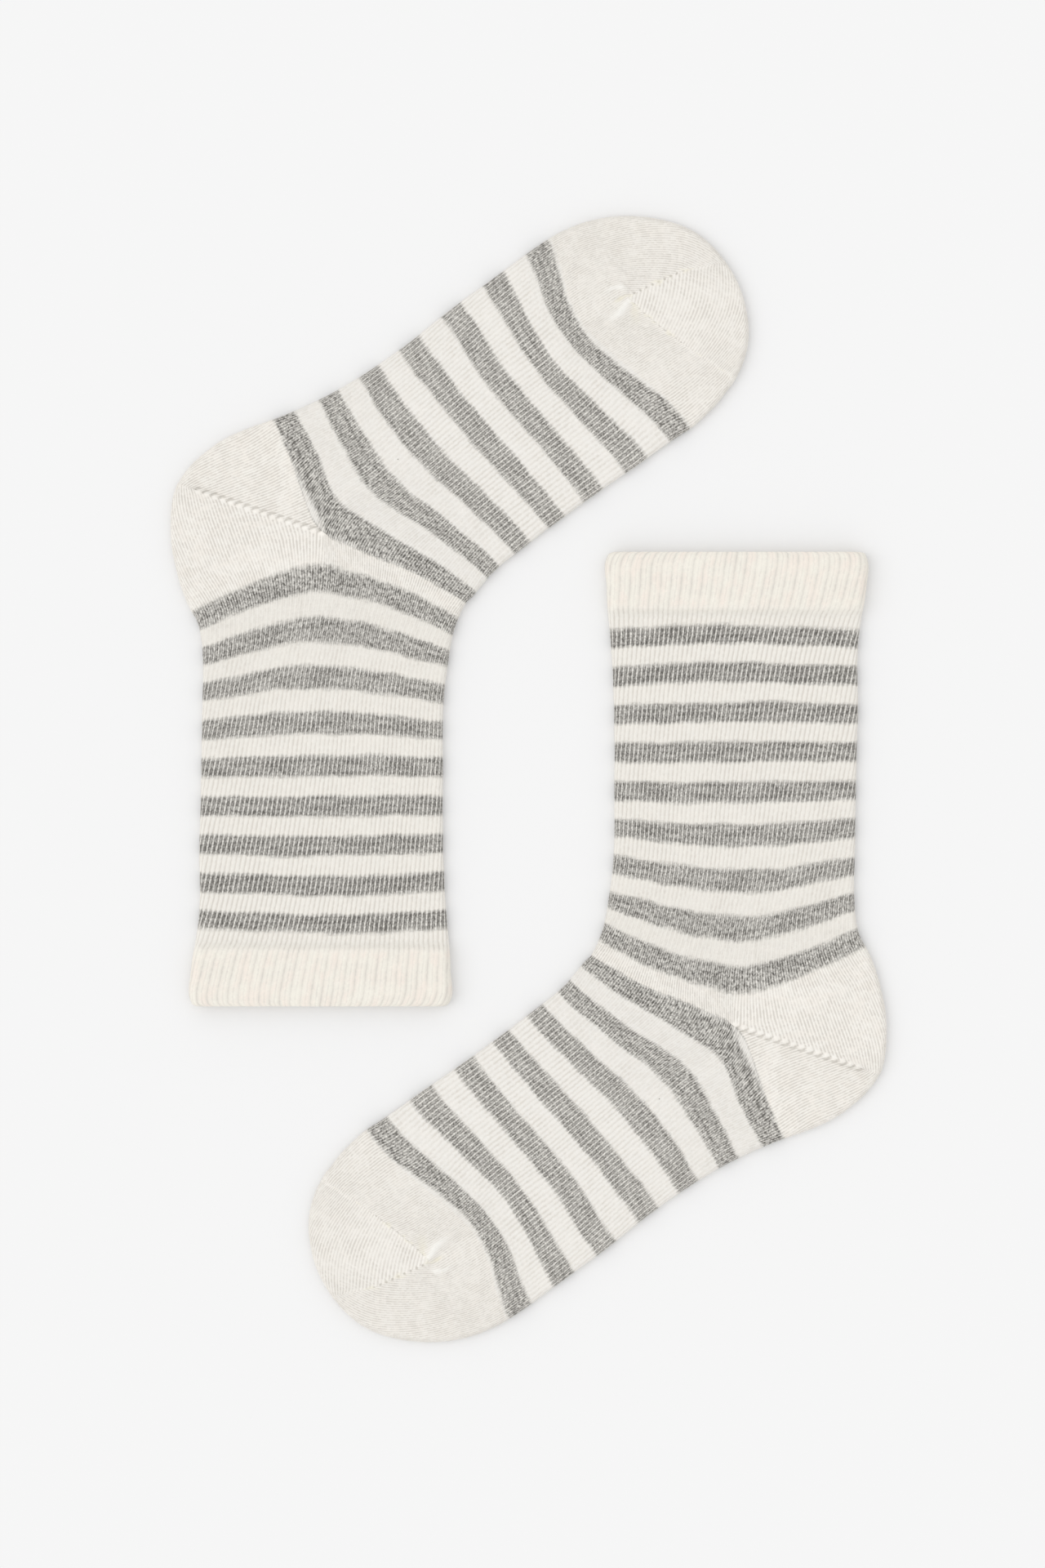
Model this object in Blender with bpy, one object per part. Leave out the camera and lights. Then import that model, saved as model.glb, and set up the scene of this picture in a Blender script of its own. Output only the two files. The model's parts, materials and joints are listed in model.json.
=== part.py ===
"""A pair of striped crew socks, each lying flat on its side.

Each sock is a knitted tube in five stretches: cuff, leg, heel, foot and toe. The tube lies pressed flat, so
every stretch is a wall round a thin slit. Sock a is modelled where it lies, and sock b is the same sock turned
half round about the middle of the pair. X runs to the right, Y up along the legs, and Z up off the surface.
"""

import math
from collections import namedtuple

import bmesh
import bpy
from mathutils import Matrix, Vector

# Driving sizes, in millimetres.
WALL = 1.3  # one layer of plain knit
WELT = 2.2  # one layer of the cuff, which is knitted double
SLIT = 0.5  # air between the two layers
SEAM_GAP = 0.3  # between neighbouring stretches
RIB_HEIGHT = 0.4  # how far a cuff rib stands out of its groove
RIBS_PER_SIDE = 27
POINTS_PER_RIB = 4
HALF_COLUMNS = 5  # columns of points in each half of a layer, between a fold and the middle
LIP_SHARE = 0.35  # how much of the welt's thickness is left at the very rim, where it turns over
MM = 0.001

# How a layer turns over at a fold: the angles, in degrees from the fold's edge, that get a point.
TOP_TURN = (0, 35, 65, 90)
UNDER_TURN = (50, 90)
INNER_TURN = (0, 90)

# Lines that cross a side of sock a from its front edge to its back edge, each along a course of stitches.
# x and y are millimetres from the middle of the pair. soft is how round the line's corner at the middle is,
# and each bow is how far that half of the line swells towards the cuff. steps is the number of rows of
# points from this line to the next.
Line = namedtuple("Line", "name front_x front_y middle_x middle_y back_x back_y soft bow_front bow_back steps")
LINES = [
    Line("rim", 22.6, 61.0, 55.9, 61.0, 89.4, 61.0, 2.0, 0.0, 0.0, 1),
    Line("rim_turn", 21.5, 60.6, 55.9, 60.5, 90.5, 60.6, 2.0, 0.0, 0.0, 1),
    Line("rim_back", 20.9, 59.6, 55.9, 59.5, 91.0, 59.6, 2.0, 0.0, 0.0, 1),
    Line("cuff_middle", 20.8, 51.5, 55.9, 51.5, 90.9, 51.5, 2.0, 0.0, 0.0, 1),
    Line("leg_top", 21.3, 43.2, 55.6, 43.4, 89.7, 43.2, 2.0, 0.0, 0.0, 1),
    Line("stripe_1", 21.8, 37.9, 55.4, 39.2, 89.0, 38.3, 2.0, 0.0, 0.0, 1),
    Line("stripe_3", 22.8, 17.2, 55.6, 17.9, 88.7, 17.3, 2.0, 0.0, 0.0, 2),
    Line("stripe_5", 22.9, -3.0, 55.6, -3.6, 88.2, -3.4, 2.0, 0.0, 0.0, 2),
    Line("stripe_7", 22.5, -23.2, 55.3, -27.5, 87.9, -23.3, 1.2, 0.8, 0.6, 2),
    Line("stripe_8", 21.4, -32.2, 54.5, -40.2, 87.8, -33.2, 1.2, 0.8, 0.8, 2),
    Line("stripe_9", 19.6, -41.0, 54.4, -54.0, 89.6, -43.0, 0.2, -0.9, -0.9, 2),
    Line("heel_top", 18.6, -43.6, 54.9, -57.7, 90.9, -45.2, 0.2, -0.9, -0.9, 2),
    Line("heel_back", 18.2, -44.6, 55.3, -59.6, 95.0, -56.7, 0.3, -1.0, 0.0, 2),
    Line("heel_point", 17.8, -45.3, 55.6, -61.3, 96.4, -67.5, 0.3, -1.0, 1.0, 2),
    Line("heel_corner", 17.4, -46.0, 55.8, -63.0, 94.7, -79.2, 0.3, -1.2, 0.5, 2),
    Line("heel_sole", 17.0, -46.8, 55.8, -64.8, 84.6, -89.8, 0.3, -1.4, 0.0, 2),
    Line("foot_top", 16.5, -47.5, 55.4, -66.5, 68.6, -96.9, 0.2, -1.6, -1.0, 1),
    Line("stripe_10", 15.4, -48.5, 52.6, -71.3, 66.2, -97.8, 0.2, -1.6, -1.9, 2),
    Line("stripe_11", 9.6, -55.3, 39.1, -79.7, 54.0, -103.3, 0.5, -1.7, -0.9, 2),
    Line("stripe_12", 1.7, -61.8, 27.4, -88.2, 43.2, -109.8, 1.9, -1.4, -0.7, 2),
    Line("stripe_13", -7.6, -68.9, 16.1, -96.5, 32.3, -117.4, 0.5, -0.5, 0.0, 2),
    Line("stripe_14", -17.7, -76.2, 5.7, -104.4, 21.5, -126.0, 0.5, -0.5, -0.3, 2),
    Line("stripe_15", -29.4, -84.3, -4.4, -111.6, 9.6, -134.7, 0.9, -1.2, -1.0, 2),
    Line("stripe_16", -41.1, -92.5, -12.6, -119.4, -2.4, -143.5, 1.3, -3.0, -2.8, 2),
    Line("toe_top", -44.0, -94.3, -15.2, -121.6, -5.6, -145.6, 1.3, -3.0, -2.8, 3),
    Line("toe_sole", -48.3, -98.1, -19.0, -124.4, -22.9, -151.4, 0.8, -1.5, -1.0, 3),
    Line("toe_tip", -51.6, -101.6, -22.2, -126.7, -45.1, -147.0, 0.6, -0.6, -0.5, 3),
    Line("toe_end", -53.2, -103.9, -24.1, -128.0, -57.9, -129.4, 0.6, 0.0, 0.0, 2),
    Line("toe_cap", -54.7, -105.6, -25.5, -128.9, -59.1, -116.8, 0.6, 0.0, 0.0, 2),
    Line("toe_seam", -55.7, -107.3, -26.5, -129.5, -55.7, -107.3, 0.6, 0.0, 0.0, 1),
]

# Each stretch: its name, its first and last line, its wall, and its colour.
Stretch = namedtuple("Stretch", "name first last wall colour")
CREAM = (0.87, 0.83, 0.76, 1.0)
CREAM_AND_GREY = (0.62, 0.60, 0.57, 1.0)
STRETCHES = [
    Stretch("cuff", "rim", "leg_top", WELT, CREAM),
    Stretch("leg", "leg_top", "heel_top", WALL, CREAM_AND_GREY),
    Stretch("heel", "heel_top", "foot_top", WALL, CREAM),
    Stretch("foot", "foot_top", "toe_top", WALL, CREAM_AND_GREY),
    Stretch("toe", "toe_top", "toe_seam", WALL, CREAM),
]


def clear_scene():
    for thing in list(bpy.data.objects):
        bpy.data.objects.remove(thing, do_unlink=True)


def tangent(points, i):
    """The slope of a smooth path at its point i, for each millimetre from point to point."""
    before, here, after = points[max(i - 1, 0)], points[i], points[i + 1]
    far = (after - here).length
    if i == 0:
        return (after - here) / far
    near = (here - before).length
    return ((here - before) / near * far + (after - here) / far * near) / (near + far)


def along(points, i, share):
    """The point a share of the way from point i to the next, on a smooth path through all the points."""
    if share == 0:
        return points[i].copy()
    start, end = points[i], points[i + 1]
    span = (end - start).length
    square, cube = share**2, share**3
    return (
        start * (2 * cube - 3 * square + 1)
        + tangent(points, i) * span * (cube - 2 * square + share)
        + end * (3 * square - 2 * cube)
        + tangent(points, i + 1) * span * (cube - square)
    )


FRONTS = [Vector((line.front_x, line.front_y)) for line in LINES]
MIDDLES = [Vector((line.middle_x, line.middle_y)) for line in LINES]
BACKS = [Vector((line.back_x, line.back_y)) for line in LINES]
CLOSING = LINES[-1].name  # where the tube ends in a seam, with its front half on its back half
# Past the seam each fold runs on along the other one, so that the outline is smooth where they meet.
FRONTS.append(BACKS[-2])
MIDDLES.append(MIDDLES[-1] * 2 - MIDDLES[-2])
BACKS.append(FRONTS[-3])


def sideways(a, b):
    """The unit vector at a quarter turn to the way from a to b, which points to the cuff."""
    way = (b - a).normalized()
    return Vector((-way.y, way.x))


def course(i, share):
    """A function from -1 (front) through 0 (middle) to 1 (back), giving points on the line at this place."""
    front, middle, back = along(FRONTS, i, share), along(MIDDLES, i, share), along(BACKS, i, share)
    here, after = LINES[i], LINES[min(i + 1, len(LINES) - 1)]
    soft, bow_front, bow_back = (
        a + (b - a) * share for a, b in zip(here[7:10], after[7:10])
    )
    to_front, to_back = sideways(front, middle), sideways(middle, back)

    def point(t):
        turn = (math.hypot(t, soft) - soft) / (math.hypot(1, soft) - soft)
        back_share, front_share = (turn + t) / 2, (turn - t) / 2
        return (
            middle
            + (back - middle) * back_share
            + (front - middle) * front_share
            + to_front * 4 * bow_front * front_share * (1 - front_share)
            + to_back * 4 * bow_back * back_share * (1 - back_share)
        )

    return point


class Half:
    """Half of a line, from the middle to a fold, which gives the point at any distance from the fold."""

    SAMPLES = 24

    def __init__(self, point, side):
        self.points = [point(side * n / self.SAMPLES) for n in range(self.SAMPLES + 1)][::-1]
        self.lengths = [0.0]
        for a, b in zip(self.points, self.points[1:]):
            self.lengths.append(self.lengths[-1] + (b - a).length)

    def at(self, distance):
        for n in range(self.SAMPLES):
            if distance <= self.lengths[n + 1] or n == self.SAMPLES - 1:
                span = self.lengths[n + 1] - self.lengths[n]
                return self.points[n].lerp(self.points[n + 1], (distance - self.lengths[n]) / span)

    def column(self, inset, n):
        """Column n of HALF_COLUMNS, counted from the turned edge, which ends at inset, to the middle."""
        return self.at(inset + (self.lengths[-1] - inset) * n / HALF_COLUMNS)


def turned(half, centre, radius, edge, angles, up):
    """Points round a fold: radius is the layer's own, and edge is how far in from the outline it lies."""
    points = []
    for angle in angles:
        turn = math.radians(angle)
        place = half.at(edge + radius * (1 - math.cos(turn)))
        points.append((*place, centre + up * radius * math.sin(turn)))
    return points


def layer(front, back, centre, radius, edge, angles, up):
    """Points of one layer from the front fold to the back fold, flat between the folds."""
    inset = edge + radius
    height = centre + up * radius
    across = [front.column(inset, n) for n in range(1, HALF_COLUMNS + 1)]
    across += [back.column(inset, n) for n in range(HALF_COLUMNS - 1, 0, -1)]
    return (
        turned(front, centre, radius, edge, angles, up)
        + [(*place, height) for place in across]
        + turned(back, centre, radius, edge, angles, up)[::-1]
    )


def ribbed(front, back, centre, radius, relief):
    """The cuff's top layer, whose points rise and fall over each rib."""
    inset = radius
    flat = front.lengths[-1] + back.lengths[-1] - 2 * inset
    count = RIBS_PER_SIDE * POINTS_PER_RIB
    points = turned(front, centre, radius, 0, TOP_TURN, 1)
    for n in range(1, count):
        distance = inset + flat * n / count
        from_back = front.lengths[-1] + back.lengths[-1] - distance
        place = front.at(distance) if distance < front.lengths[-1] else back.at(from_back)
        rise = relief * (1 - math.cos(2 * math.pi * n / POINTS_PER_RIB)) / 2
        points.append((*place, centre + radius + rise))
    return points + turned(back, centre, radius, 0, TOP_TURN, 1)[::-1]


def rings(point, wall, lip, ribs):
    """The outer and inner ring of points round the tube at one line, each from the front fold over the top."""
    front, back = Half(point, -1), Half(point, 1)
    centre = wall + SLIT / 2
    thinner = wall * (1 - lip) / 2
    outer_radius = centre - thinner
    inner_radius = SLIT / 2 + thinner
    inner_edge = outer_radius - inner_radius
    if ribs:
        top = ribbed(front, back, centre, outer_radius, RIB_HEIGHT * lip)
    else:
        top = layer(front, back, centre, outer_radius, 0, TOP_TURN, 1)
    under = layer(front, back, centre, outer_radius, 0, UNDER_TURN, -1)
    inner_top = layer(front, back, centre, inner_radius, inner_edge, INNER_TURN, 1)
    inner_under = layer(front, back, centre, inner_radius, inner_edge, INNER_TURN[1:], -1)
    return top + under[::-1], inner_top + inner_under[::-1]


def moved(line, distance):
    """A line moved a distance in millimetres towards the cuff."""
    step = 0.01

    def point(t):
        return line(t) + sideways(line(t - step), line(t + step)) * distance

    return point


def lines_of(stretch):
    """Each row of a stretch: its line, and how much of the wall's thickness it has."""
    names = [line.name for line in LINES]
    first, last = names.index(stretch.first), names.index(stretch.last)
    rows = []
    for i in range(first, last):
        for n in range(LINES[i].steps):
            rows.append((course(i, n / LINES[i].steps), 1.0))
    rows.append((course(last, 0), 1.0))
    if stretch.first != LINES[0].name:
        rows[0] = (moved(course(first, 0), -SEAM_GAP / 2), 1.0)
    if stretch.last != CLOSING:
        rows[-1] = (moved(course(last, 0), SEAM_GAP / 2), 1.0)
    if stretch.first == LINES[0].name:
        rows[0] = (rows[0][0], LIP_SHARE)
        rows[1] = (rows[1][0], (1 + LIP_SHARE) / 2)
    return rows


def skin(mesh, rows_of_points, flip, closed):
    """Quads over rows of rings. A closed skin ends in a seam, where its front half meets its back half."""
    rows = [[mesh.verts.new(Vector(p) * MM) for p in ring] for ring in rows_of_points]
    if closed:
        ring, count = rows[-1], len(rows[-1])
        by_place = {}
        for n, vert in enumerate(ring):
            key = tuple(round(c, 6) for c in vert.co)
            if key in by_place:
                ring[n] = by_place[key]
                mesh.verts.remove(vert)
            else:
                by_place[key] = vert
        assert len(set(ring)) <= count // 2 + 2, "the two halves of the last ring don't meet"
    for near, far in zip(rows, rows[1:]):
        for n in range(len(near)):
            after = (n + 1) % len(near)
            face = [near[n], near[after], far[after], far[n]]
            mesh.faces.new(face[::-1] if flip else face)
    return rows


def rim(mesh, outer, inner):
    """Joins the end of the outer skin to the end of the inner one."""
    edges = [mesh.edges.get((ring[n], ring[n - 1])) for ring in (outer, inner) for n in range(len(ring))]
    bmesh.ops.bridge_loops(mesh, edges=edges)


def stretch_mesh(stretch):
    """The closed wall of one stretch of sock a."""
    ribs = stretch.name == "cuff"
    closed = stretch.last == CLOSING
    pairs = [rings(point, stretch.wall, lip, ribs) for point, lip in lines_of(stretch)]
    mesh = bmesh.new()
    outer = skin(mesh, [pair[0] for pair in pairs], flip=True, closed=closed)
    inner = skin(mesh, [pair[1] for pair in pairs], flip=False, closed=closed)
    rim(mesh, outer[0], inner[0])
    if not closed:
        rim(mesh, outer[-1], inner[-1])
    bmesh.ops.recalc_face_normals(mesh, faces=mesh.faces)
    data = bpy.data.meshes.new(stretch.name)
    mesh.to_mesh(data)
    mesh.free()
    data.shade_smooth()
    data.set_sharp_from_angle(angle=math.radians(50))
    return data


def knit_material(name, colour):
    material = bpy.data.materials.new(name)
    material.use_nodes = True
    shader = material.node_tree.nodes["Principled BSDF"]
    shader.inputs["Base Color"].default_value = colour
    shader.inputs["Roughness"].default_value = 0.9
    shader.inputs["Metallic"].default_value = 0.0
    return material


def build():
    clear_scene()
    turns = {"sock_a": Matrix.Identity(4), "sock_b": Matrix.Rotation(math.pi, 4, "Z")}
    for stretch in STRETCHES:
        data = stretch_mesh(stretch)
        data.materials.append(knit_material(f"{stretch.name}_knit", stretch.colour))
        for sock, turn in turns.items():
            piece = bpy.data.objects.new(f"{sock}_{stretch.name}", data)
            piece.matrix_world = turn
            bpy.context.scene.collection.objects.link(piece)


build()
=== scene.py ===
# %% [markdown]
# # A pair of striped socks
# Two children's crew socks lie flat on their sides. Each one is a knitted tube: a ribbed cuff, a striped
# leg, a plain heel, a striped foot and a plain toe. Cloth like this can be a plain sheet with a knit
# picture on it, or a mesh that follows the stitches. Here the mesh follows them. Every column of points
# runs along a column of stitches (a wale) and every row along a row of stitches (a course), so stripes,
# heel turns and relief all fall where a knitting machine would put them. The packed solids are loaded
# first, and nothing moves them.
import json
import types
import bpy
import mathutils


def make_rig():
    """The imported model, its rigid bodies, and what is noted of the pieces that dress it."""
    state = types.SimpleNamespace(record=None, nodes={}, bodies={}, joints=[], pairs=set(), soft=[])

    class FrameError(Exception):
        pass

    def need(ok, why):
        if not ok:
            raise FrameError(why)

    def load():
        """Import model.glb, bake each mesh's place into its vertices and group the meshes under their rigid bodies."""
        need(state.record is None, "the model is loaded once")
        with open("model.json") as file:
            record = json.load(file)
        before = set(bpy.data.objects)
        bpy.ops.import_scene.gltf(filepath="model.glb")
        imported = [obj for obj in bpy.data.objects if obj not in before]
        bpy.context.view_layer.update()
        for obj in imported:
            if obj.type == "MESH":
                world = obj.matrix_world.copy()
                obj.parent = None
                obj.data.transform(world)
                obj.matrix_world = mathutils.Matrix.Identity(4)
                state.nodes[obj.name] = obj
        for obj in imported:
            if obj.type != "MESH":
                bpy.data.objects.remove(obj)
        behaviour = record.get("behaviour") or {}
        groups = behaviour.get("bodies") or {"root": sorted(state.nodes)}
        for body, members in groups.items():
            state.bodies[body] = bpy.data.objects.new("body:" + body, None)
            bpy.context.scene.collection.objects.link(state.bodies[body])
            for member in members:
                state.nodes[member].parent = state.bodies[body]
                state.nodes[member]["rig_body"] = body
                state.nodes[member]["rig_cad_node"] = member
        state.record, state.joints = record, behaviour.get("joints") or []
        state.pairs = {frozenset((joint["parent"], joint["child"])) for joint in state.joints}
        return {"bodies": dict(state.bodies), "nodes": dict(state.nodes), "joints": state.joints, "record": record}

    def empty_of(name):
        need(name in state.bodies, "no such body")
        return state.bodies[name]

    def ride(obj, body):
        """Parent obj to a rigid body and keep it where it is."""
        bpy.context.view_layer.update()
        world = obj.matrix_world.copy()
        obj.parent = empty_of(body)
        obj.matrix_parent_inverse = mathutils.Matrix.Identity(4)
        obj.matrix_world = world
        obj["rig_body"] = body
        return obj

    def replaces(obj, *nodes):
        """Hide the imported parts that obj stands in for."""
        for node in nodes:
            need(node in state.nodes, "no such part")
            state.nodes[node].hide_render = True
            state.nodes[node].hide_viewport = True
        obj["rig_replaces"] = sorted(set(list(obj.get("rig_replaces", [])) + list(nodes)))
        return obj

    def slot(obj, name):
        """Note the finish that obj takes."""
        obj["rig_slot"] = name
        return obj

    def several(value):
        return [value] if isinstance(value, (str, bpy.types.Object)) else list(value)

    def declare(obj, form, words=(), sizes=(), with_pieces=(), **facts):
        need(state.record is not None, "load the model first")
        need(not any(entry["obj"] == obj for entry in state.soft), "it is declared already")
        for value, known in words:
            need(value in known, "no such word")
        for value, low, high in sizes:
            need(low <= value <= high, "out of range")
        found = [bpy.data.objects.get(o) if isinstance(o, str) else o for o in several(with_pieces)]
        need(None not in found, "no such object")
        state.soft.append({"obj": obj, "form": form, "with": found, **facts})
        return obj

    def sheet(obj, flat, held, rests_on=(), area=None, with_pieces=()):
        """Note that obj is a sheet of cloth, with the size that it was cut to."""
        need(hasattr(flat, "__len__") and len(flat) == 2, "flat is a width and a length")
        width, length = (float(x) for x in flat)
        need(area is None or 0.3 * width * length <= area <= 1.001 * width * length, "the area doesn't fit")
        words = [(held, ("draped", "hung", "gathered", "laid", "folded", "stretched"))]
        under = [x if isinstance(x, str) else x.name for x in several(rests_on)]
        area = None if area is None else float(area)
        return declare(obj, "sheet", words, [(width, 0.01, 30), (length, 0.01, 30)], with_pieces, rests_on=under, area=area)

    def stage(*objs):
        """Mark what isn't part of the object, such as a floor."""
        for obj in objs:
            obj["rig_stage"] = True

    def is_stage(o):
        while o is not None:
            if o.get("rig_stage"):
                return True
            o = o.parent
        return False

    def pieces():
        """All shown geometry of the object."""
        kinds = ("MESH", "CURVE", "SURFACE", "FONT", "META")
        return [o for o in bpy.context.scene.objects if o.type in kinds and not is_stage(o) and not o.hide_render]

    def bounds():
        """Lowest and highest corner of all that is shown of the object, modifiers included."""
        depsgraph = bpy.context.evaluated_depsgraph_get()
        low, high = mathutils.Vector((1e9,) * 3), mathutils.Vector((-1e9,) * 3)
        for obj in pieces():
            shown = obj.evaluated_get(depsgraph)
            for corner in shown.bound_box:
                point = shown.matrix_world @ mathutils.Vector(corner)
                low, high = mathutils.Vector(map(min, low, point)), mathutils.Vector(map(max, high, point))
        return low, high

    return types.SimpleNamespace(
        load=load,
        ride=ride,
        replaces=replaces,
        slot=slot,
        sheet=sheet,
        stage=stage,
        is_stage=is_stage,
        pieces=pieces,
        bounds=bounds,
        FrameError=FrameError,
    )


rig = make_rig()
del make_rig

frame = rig.load()
cad_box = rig.bounds()

import json
import math
import os
from dataclasses import dataclass

import bpy
import numpy as np
from mathutils import Matrix

MM = 0.001
print("nodes:", ", ".join(sorted(frame["nodes"])))

# %% [markdown]
# ## The lines of the sock
# A sock laid flat has two folds: the front one runs down the shin and over the instep, and the back one
# runs down the calf, round the heel and along the sole. A course of stitches crosses from fold to fold, and
# it bends in the middle. So each line below has a front, a middle and a back point, in millimetres, with
# the number of its course, how round its corner is, and how far each half swells towards the cuff. They
# could be drawn as curves by hand, but a table keeps the looks on the same lines as the solids.

# %% Lines across sock a
RIM, LEG_TOP, HEEL_TOP, FOOT_TOP, TOE_TOP, SEAM = 0, 25, 145.5, 154.5, 277.5, 299.5  # numbers of courses
LINES = [  # course, front, middle, back, soft, bow of the front half, bow of the back half
    (RIM, (22.6, 61.0), (55.9, 61.0), (89.4, 61.0), 2.0, 0.0, 0.0),
    (0.7, (21.5, 60.6), (55.9, 60.5), (90.5, 60.6), 2.0, 0.0, 0.0),
    (2.1, (20.9, 59.6), (55.9, 59.5), (91.0, 59.6), 2.0, 0.0, 0.0),
    (13.3, (20.8, 51.5), (55.9, 51.5), (90.9, 51.5), 2.0, 0.0, 0.0),
    (LEG_TOP, (21.3, 43.2), (55.6, 43.4), (89.7, 43.2), 2.0, 0.0, 0.0),
    (30, (21.8, 37.9), (55.4, 39.2), (89.0, 38.3), 2.0, 0.0, 0.0),
    (58, (22.8, 17.2), (55.6, 17.9), (88.7, 17.3), 2.0, 0.0, 0.0),
    (86, (22.9, -3.0), (55.6, -3.6), (88.2, -3.4), 2.0, 0.0, 0.0),
    (114, (22.5, -23.2), (55.3, -27.5), (87.9, -23.3), 1.2, 0.8, 0.6),
    (128, (21.4, -32.2), (54.5, -40.2), (87.8, -33.2), 1.2, 0.8, 0.8),
    (142, (19.6, -41.0), (54.4, -54.0), (89.6, -43.0), 0.2, -0.9, -0.9),
    (HEEL_TOP, (18.6, -43.6), (54.9, -57.7), (90.9, -45.2), 0.2, -0.9, -0.9),
    (147.5, (18.2, -44.6), (55.3, -59.6), (95.0, -56.7), 0.3, -1.0, 0.0),
    (149.5, (17.8, -45.3), (55.6, -61.3), (96.4, -67.5), 0.3, -1.0, 1.0),
    (151, (17.4, -46.0), (55.8, -63.0), (94.7, -79.2), 0.3, -1.2, 0.5),
    (153, (17.0, -46.8), (55.8, -64.8), (84.6, -89.8), 0.3, -1.4, 0.0),
    (FOOT_TOP, (16.5, -47.5), (55.4, -66.5), (68.6, -96.9), 0.2, -1.6, -1.0),
    (159, (15.4, -48.5), (52.6, -71.3), (66.2, -97.8), 0.2, -1.6, -1.9),
    (178, (9.6, -55.3), (39.1, -79.7), (54.0, -103.3), 0.5, -1.7, -0.9),
    (197, (1.7, -61.8), (27.4, -88.2), (43.2, -109.8), 1.9, -1.4, -0.7),
    (216, (-7.6, -68.9), (16.1, -96.5), (32.3, -117.4), 0.5, -0.5, 0.0),
    (235, (-17.7, -76.2), (5.7, -104.4), (21.5, -126.0), 0.5, -0.5, -0.3),
    (254, (-29.4, -84.3), (-4.4, -111.6), (9.6, -134.7), 0.9, -1.2, -1.0),
    (273, (-41.1, -92.5), (-12.6, -119.4), (-2.4, -143.5), 1.3, -3.0, -2.8),
    (TOE_TOP, (-44.0, -94.3), (-15.2, -121.6), (-5.6, -145.6), 1.3, -3.0, -2.8),
    (285, (-48.3, -98.1), (-19.0, -124.4), (-22.9, -151.4), 0.8, -1.5, -1.0),
    (291, (-51.6, -101.6), (-22.2, -126.7), (-45.1, -147.0), 0.6, -0.6, -0.5),
    (294, (-53.2, -103.9), (-24.1, -128.0), (-57.9, -129.4), 0.6, 0.0, 0.0),
    (297, (-54.7, -105.6), (-25.5, -128.9), (-59.1, -116.8), 0.6, 0.0, 0.0),
    (SEAM, (-55.7, -107.3), (-26.5, -129.5), (-55.7, -107.3), 0.6, 0.0, 0.0),
]
COURSES = np.array([line[0] for line in LINES], float)
FRONTS, MIDDLES, BACKS = (np.array([line[n] for line in LINES], float) for n in (1, 2, 3))
FRONTS = np.vstack([FRONTS, BACKS[-2]])  # past the seam each fold runs on along the other one
MIDDLES = np.vstack([MIDDLES, MIDDLES[-1] * 2 - MIDDLES[-2]])
BACKS = np.vstack([BACKS, FRONTS[-3]])
SHAPES = np.array([line[4:] for line in LINES], float)
WALES_ROUND = 112
HEEL_WALE, TOE_WALE = 44, 41  # where each pocket starts, on the middle line
# The wale that lies on the front fold, the middle line, the back fold and the middle of the underside.
LEG_WALES = np.array([  # course, front, middle, back, under
    (RIM, 2.6, 28.9, 55.3, 85),
    (LEG_TOP, 4.0, 31.0, 57.2, 87),
    (58, 6.3, 34.6, 61.2, 90),
    (86, 7.9, 37.1, 64.3, 92.5),
    (114, 8.9, 39.4, 67.6, 94.5),
    (128, 9.6, 40.9, 68.8, 95.5),
    (142, 11.2, 42.7, 69.8, 96),
    (HEEL_TOP, 11.5, 43.2, 69.9, 95.6),
    (FOOT_TOP, 12.2, HEEL_WALE, 69.0, 94),
])
FOOT_WALES = np.array([
    (FOOT_TOP, 12.2, HEEL_WALE, 66.0, 94),
    (159, 12.1, 43.8, 66.2, 94.2),
    (178, 11.4, 42.6, 66.5, 94.8),
    (197, 10.8, 41.7, 65.8, 95.4),
    (216, 10.4, 40.9, 64.9, 96),
    (235, 10.3, 40.4, 64.0, 96.4),
    (254, 10.1, 40.2, 62.9, 96.7),
    (273, 9.9, 40.6, 62.7, 97),
    (TOE_TOP, 10.2, 40.7, 62.7, 97),
    (288, 10.3, 40.9, 62.8, 97),
    (SEAM, 10.6, TOE_WALE, 63.0, 97),
])
print(len(LINES), "lines,", WALES_ROUND, "wales round,", SEAM, "courses from rim to toe seam")

# %% [markdown]
# ## Smooth paths
# Between two lines the folds and the middle are smooth curves through the table's points. A spline object
# could give them, but the solids use this short formula, and the looks have to lie on the solids.


# %% Points along a path
def slope(points, i):
    """The slope of a smooth path at its point i, for each millimetre from point to point."""
    before, here, after = points[max(i - 1, 0)], points[i], points[i + 1]
    far = np.linalg.norm(after - here)
    if i == 0:
        return (after - here) / far
    near = np.linalg.norm(here - before)
    return ((here - before) / near * far + (after - here) / far * near) / (near + far)


def along(points, i, share):
    """The point a share of the way from point i to the next."""
    start, end = points[i], points[i + 1]
    span = np.linalg.norm(end - start)
    square, cube = share**2, share**3
    return (
        start * (2 * cube - 3 * square + 1)
        + slope(points, i) * span * (cube - 2 * square + share)
        + end * (3 * square - 2 * cube)
        + slope(points, i + 1) * span * (cube - square)
    )


def stretch_of_path(points, first, last, samples=40):
    """Points close together from point first to point last, and how far along each one lies, from 0 to 1."""
    dense = [along(points, i, n / samples) for i in range(first, last) for n in range(samples)]
    dense = np.array(dense + [points[last]])
    far = np.concatenate([[0], np.cumsum(np.linalg.norm(np.diff(dense, axis=0), axis=1))])
    return dense, far / far[-1]


def on_path(path, share):
    dense, far = path
    return np.stack([np.interp(share, far, dense[:, n]) for n in (0, 1)], axis=-1)


def share_nearest(path, point):
    dense, far = path
    return far[np.argmin(np.linalg.norm(dense - np.array(point), axis=1))]


def line_number(course):
    return int(np.argmin(np.abs(COURSES - course)))


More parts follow.
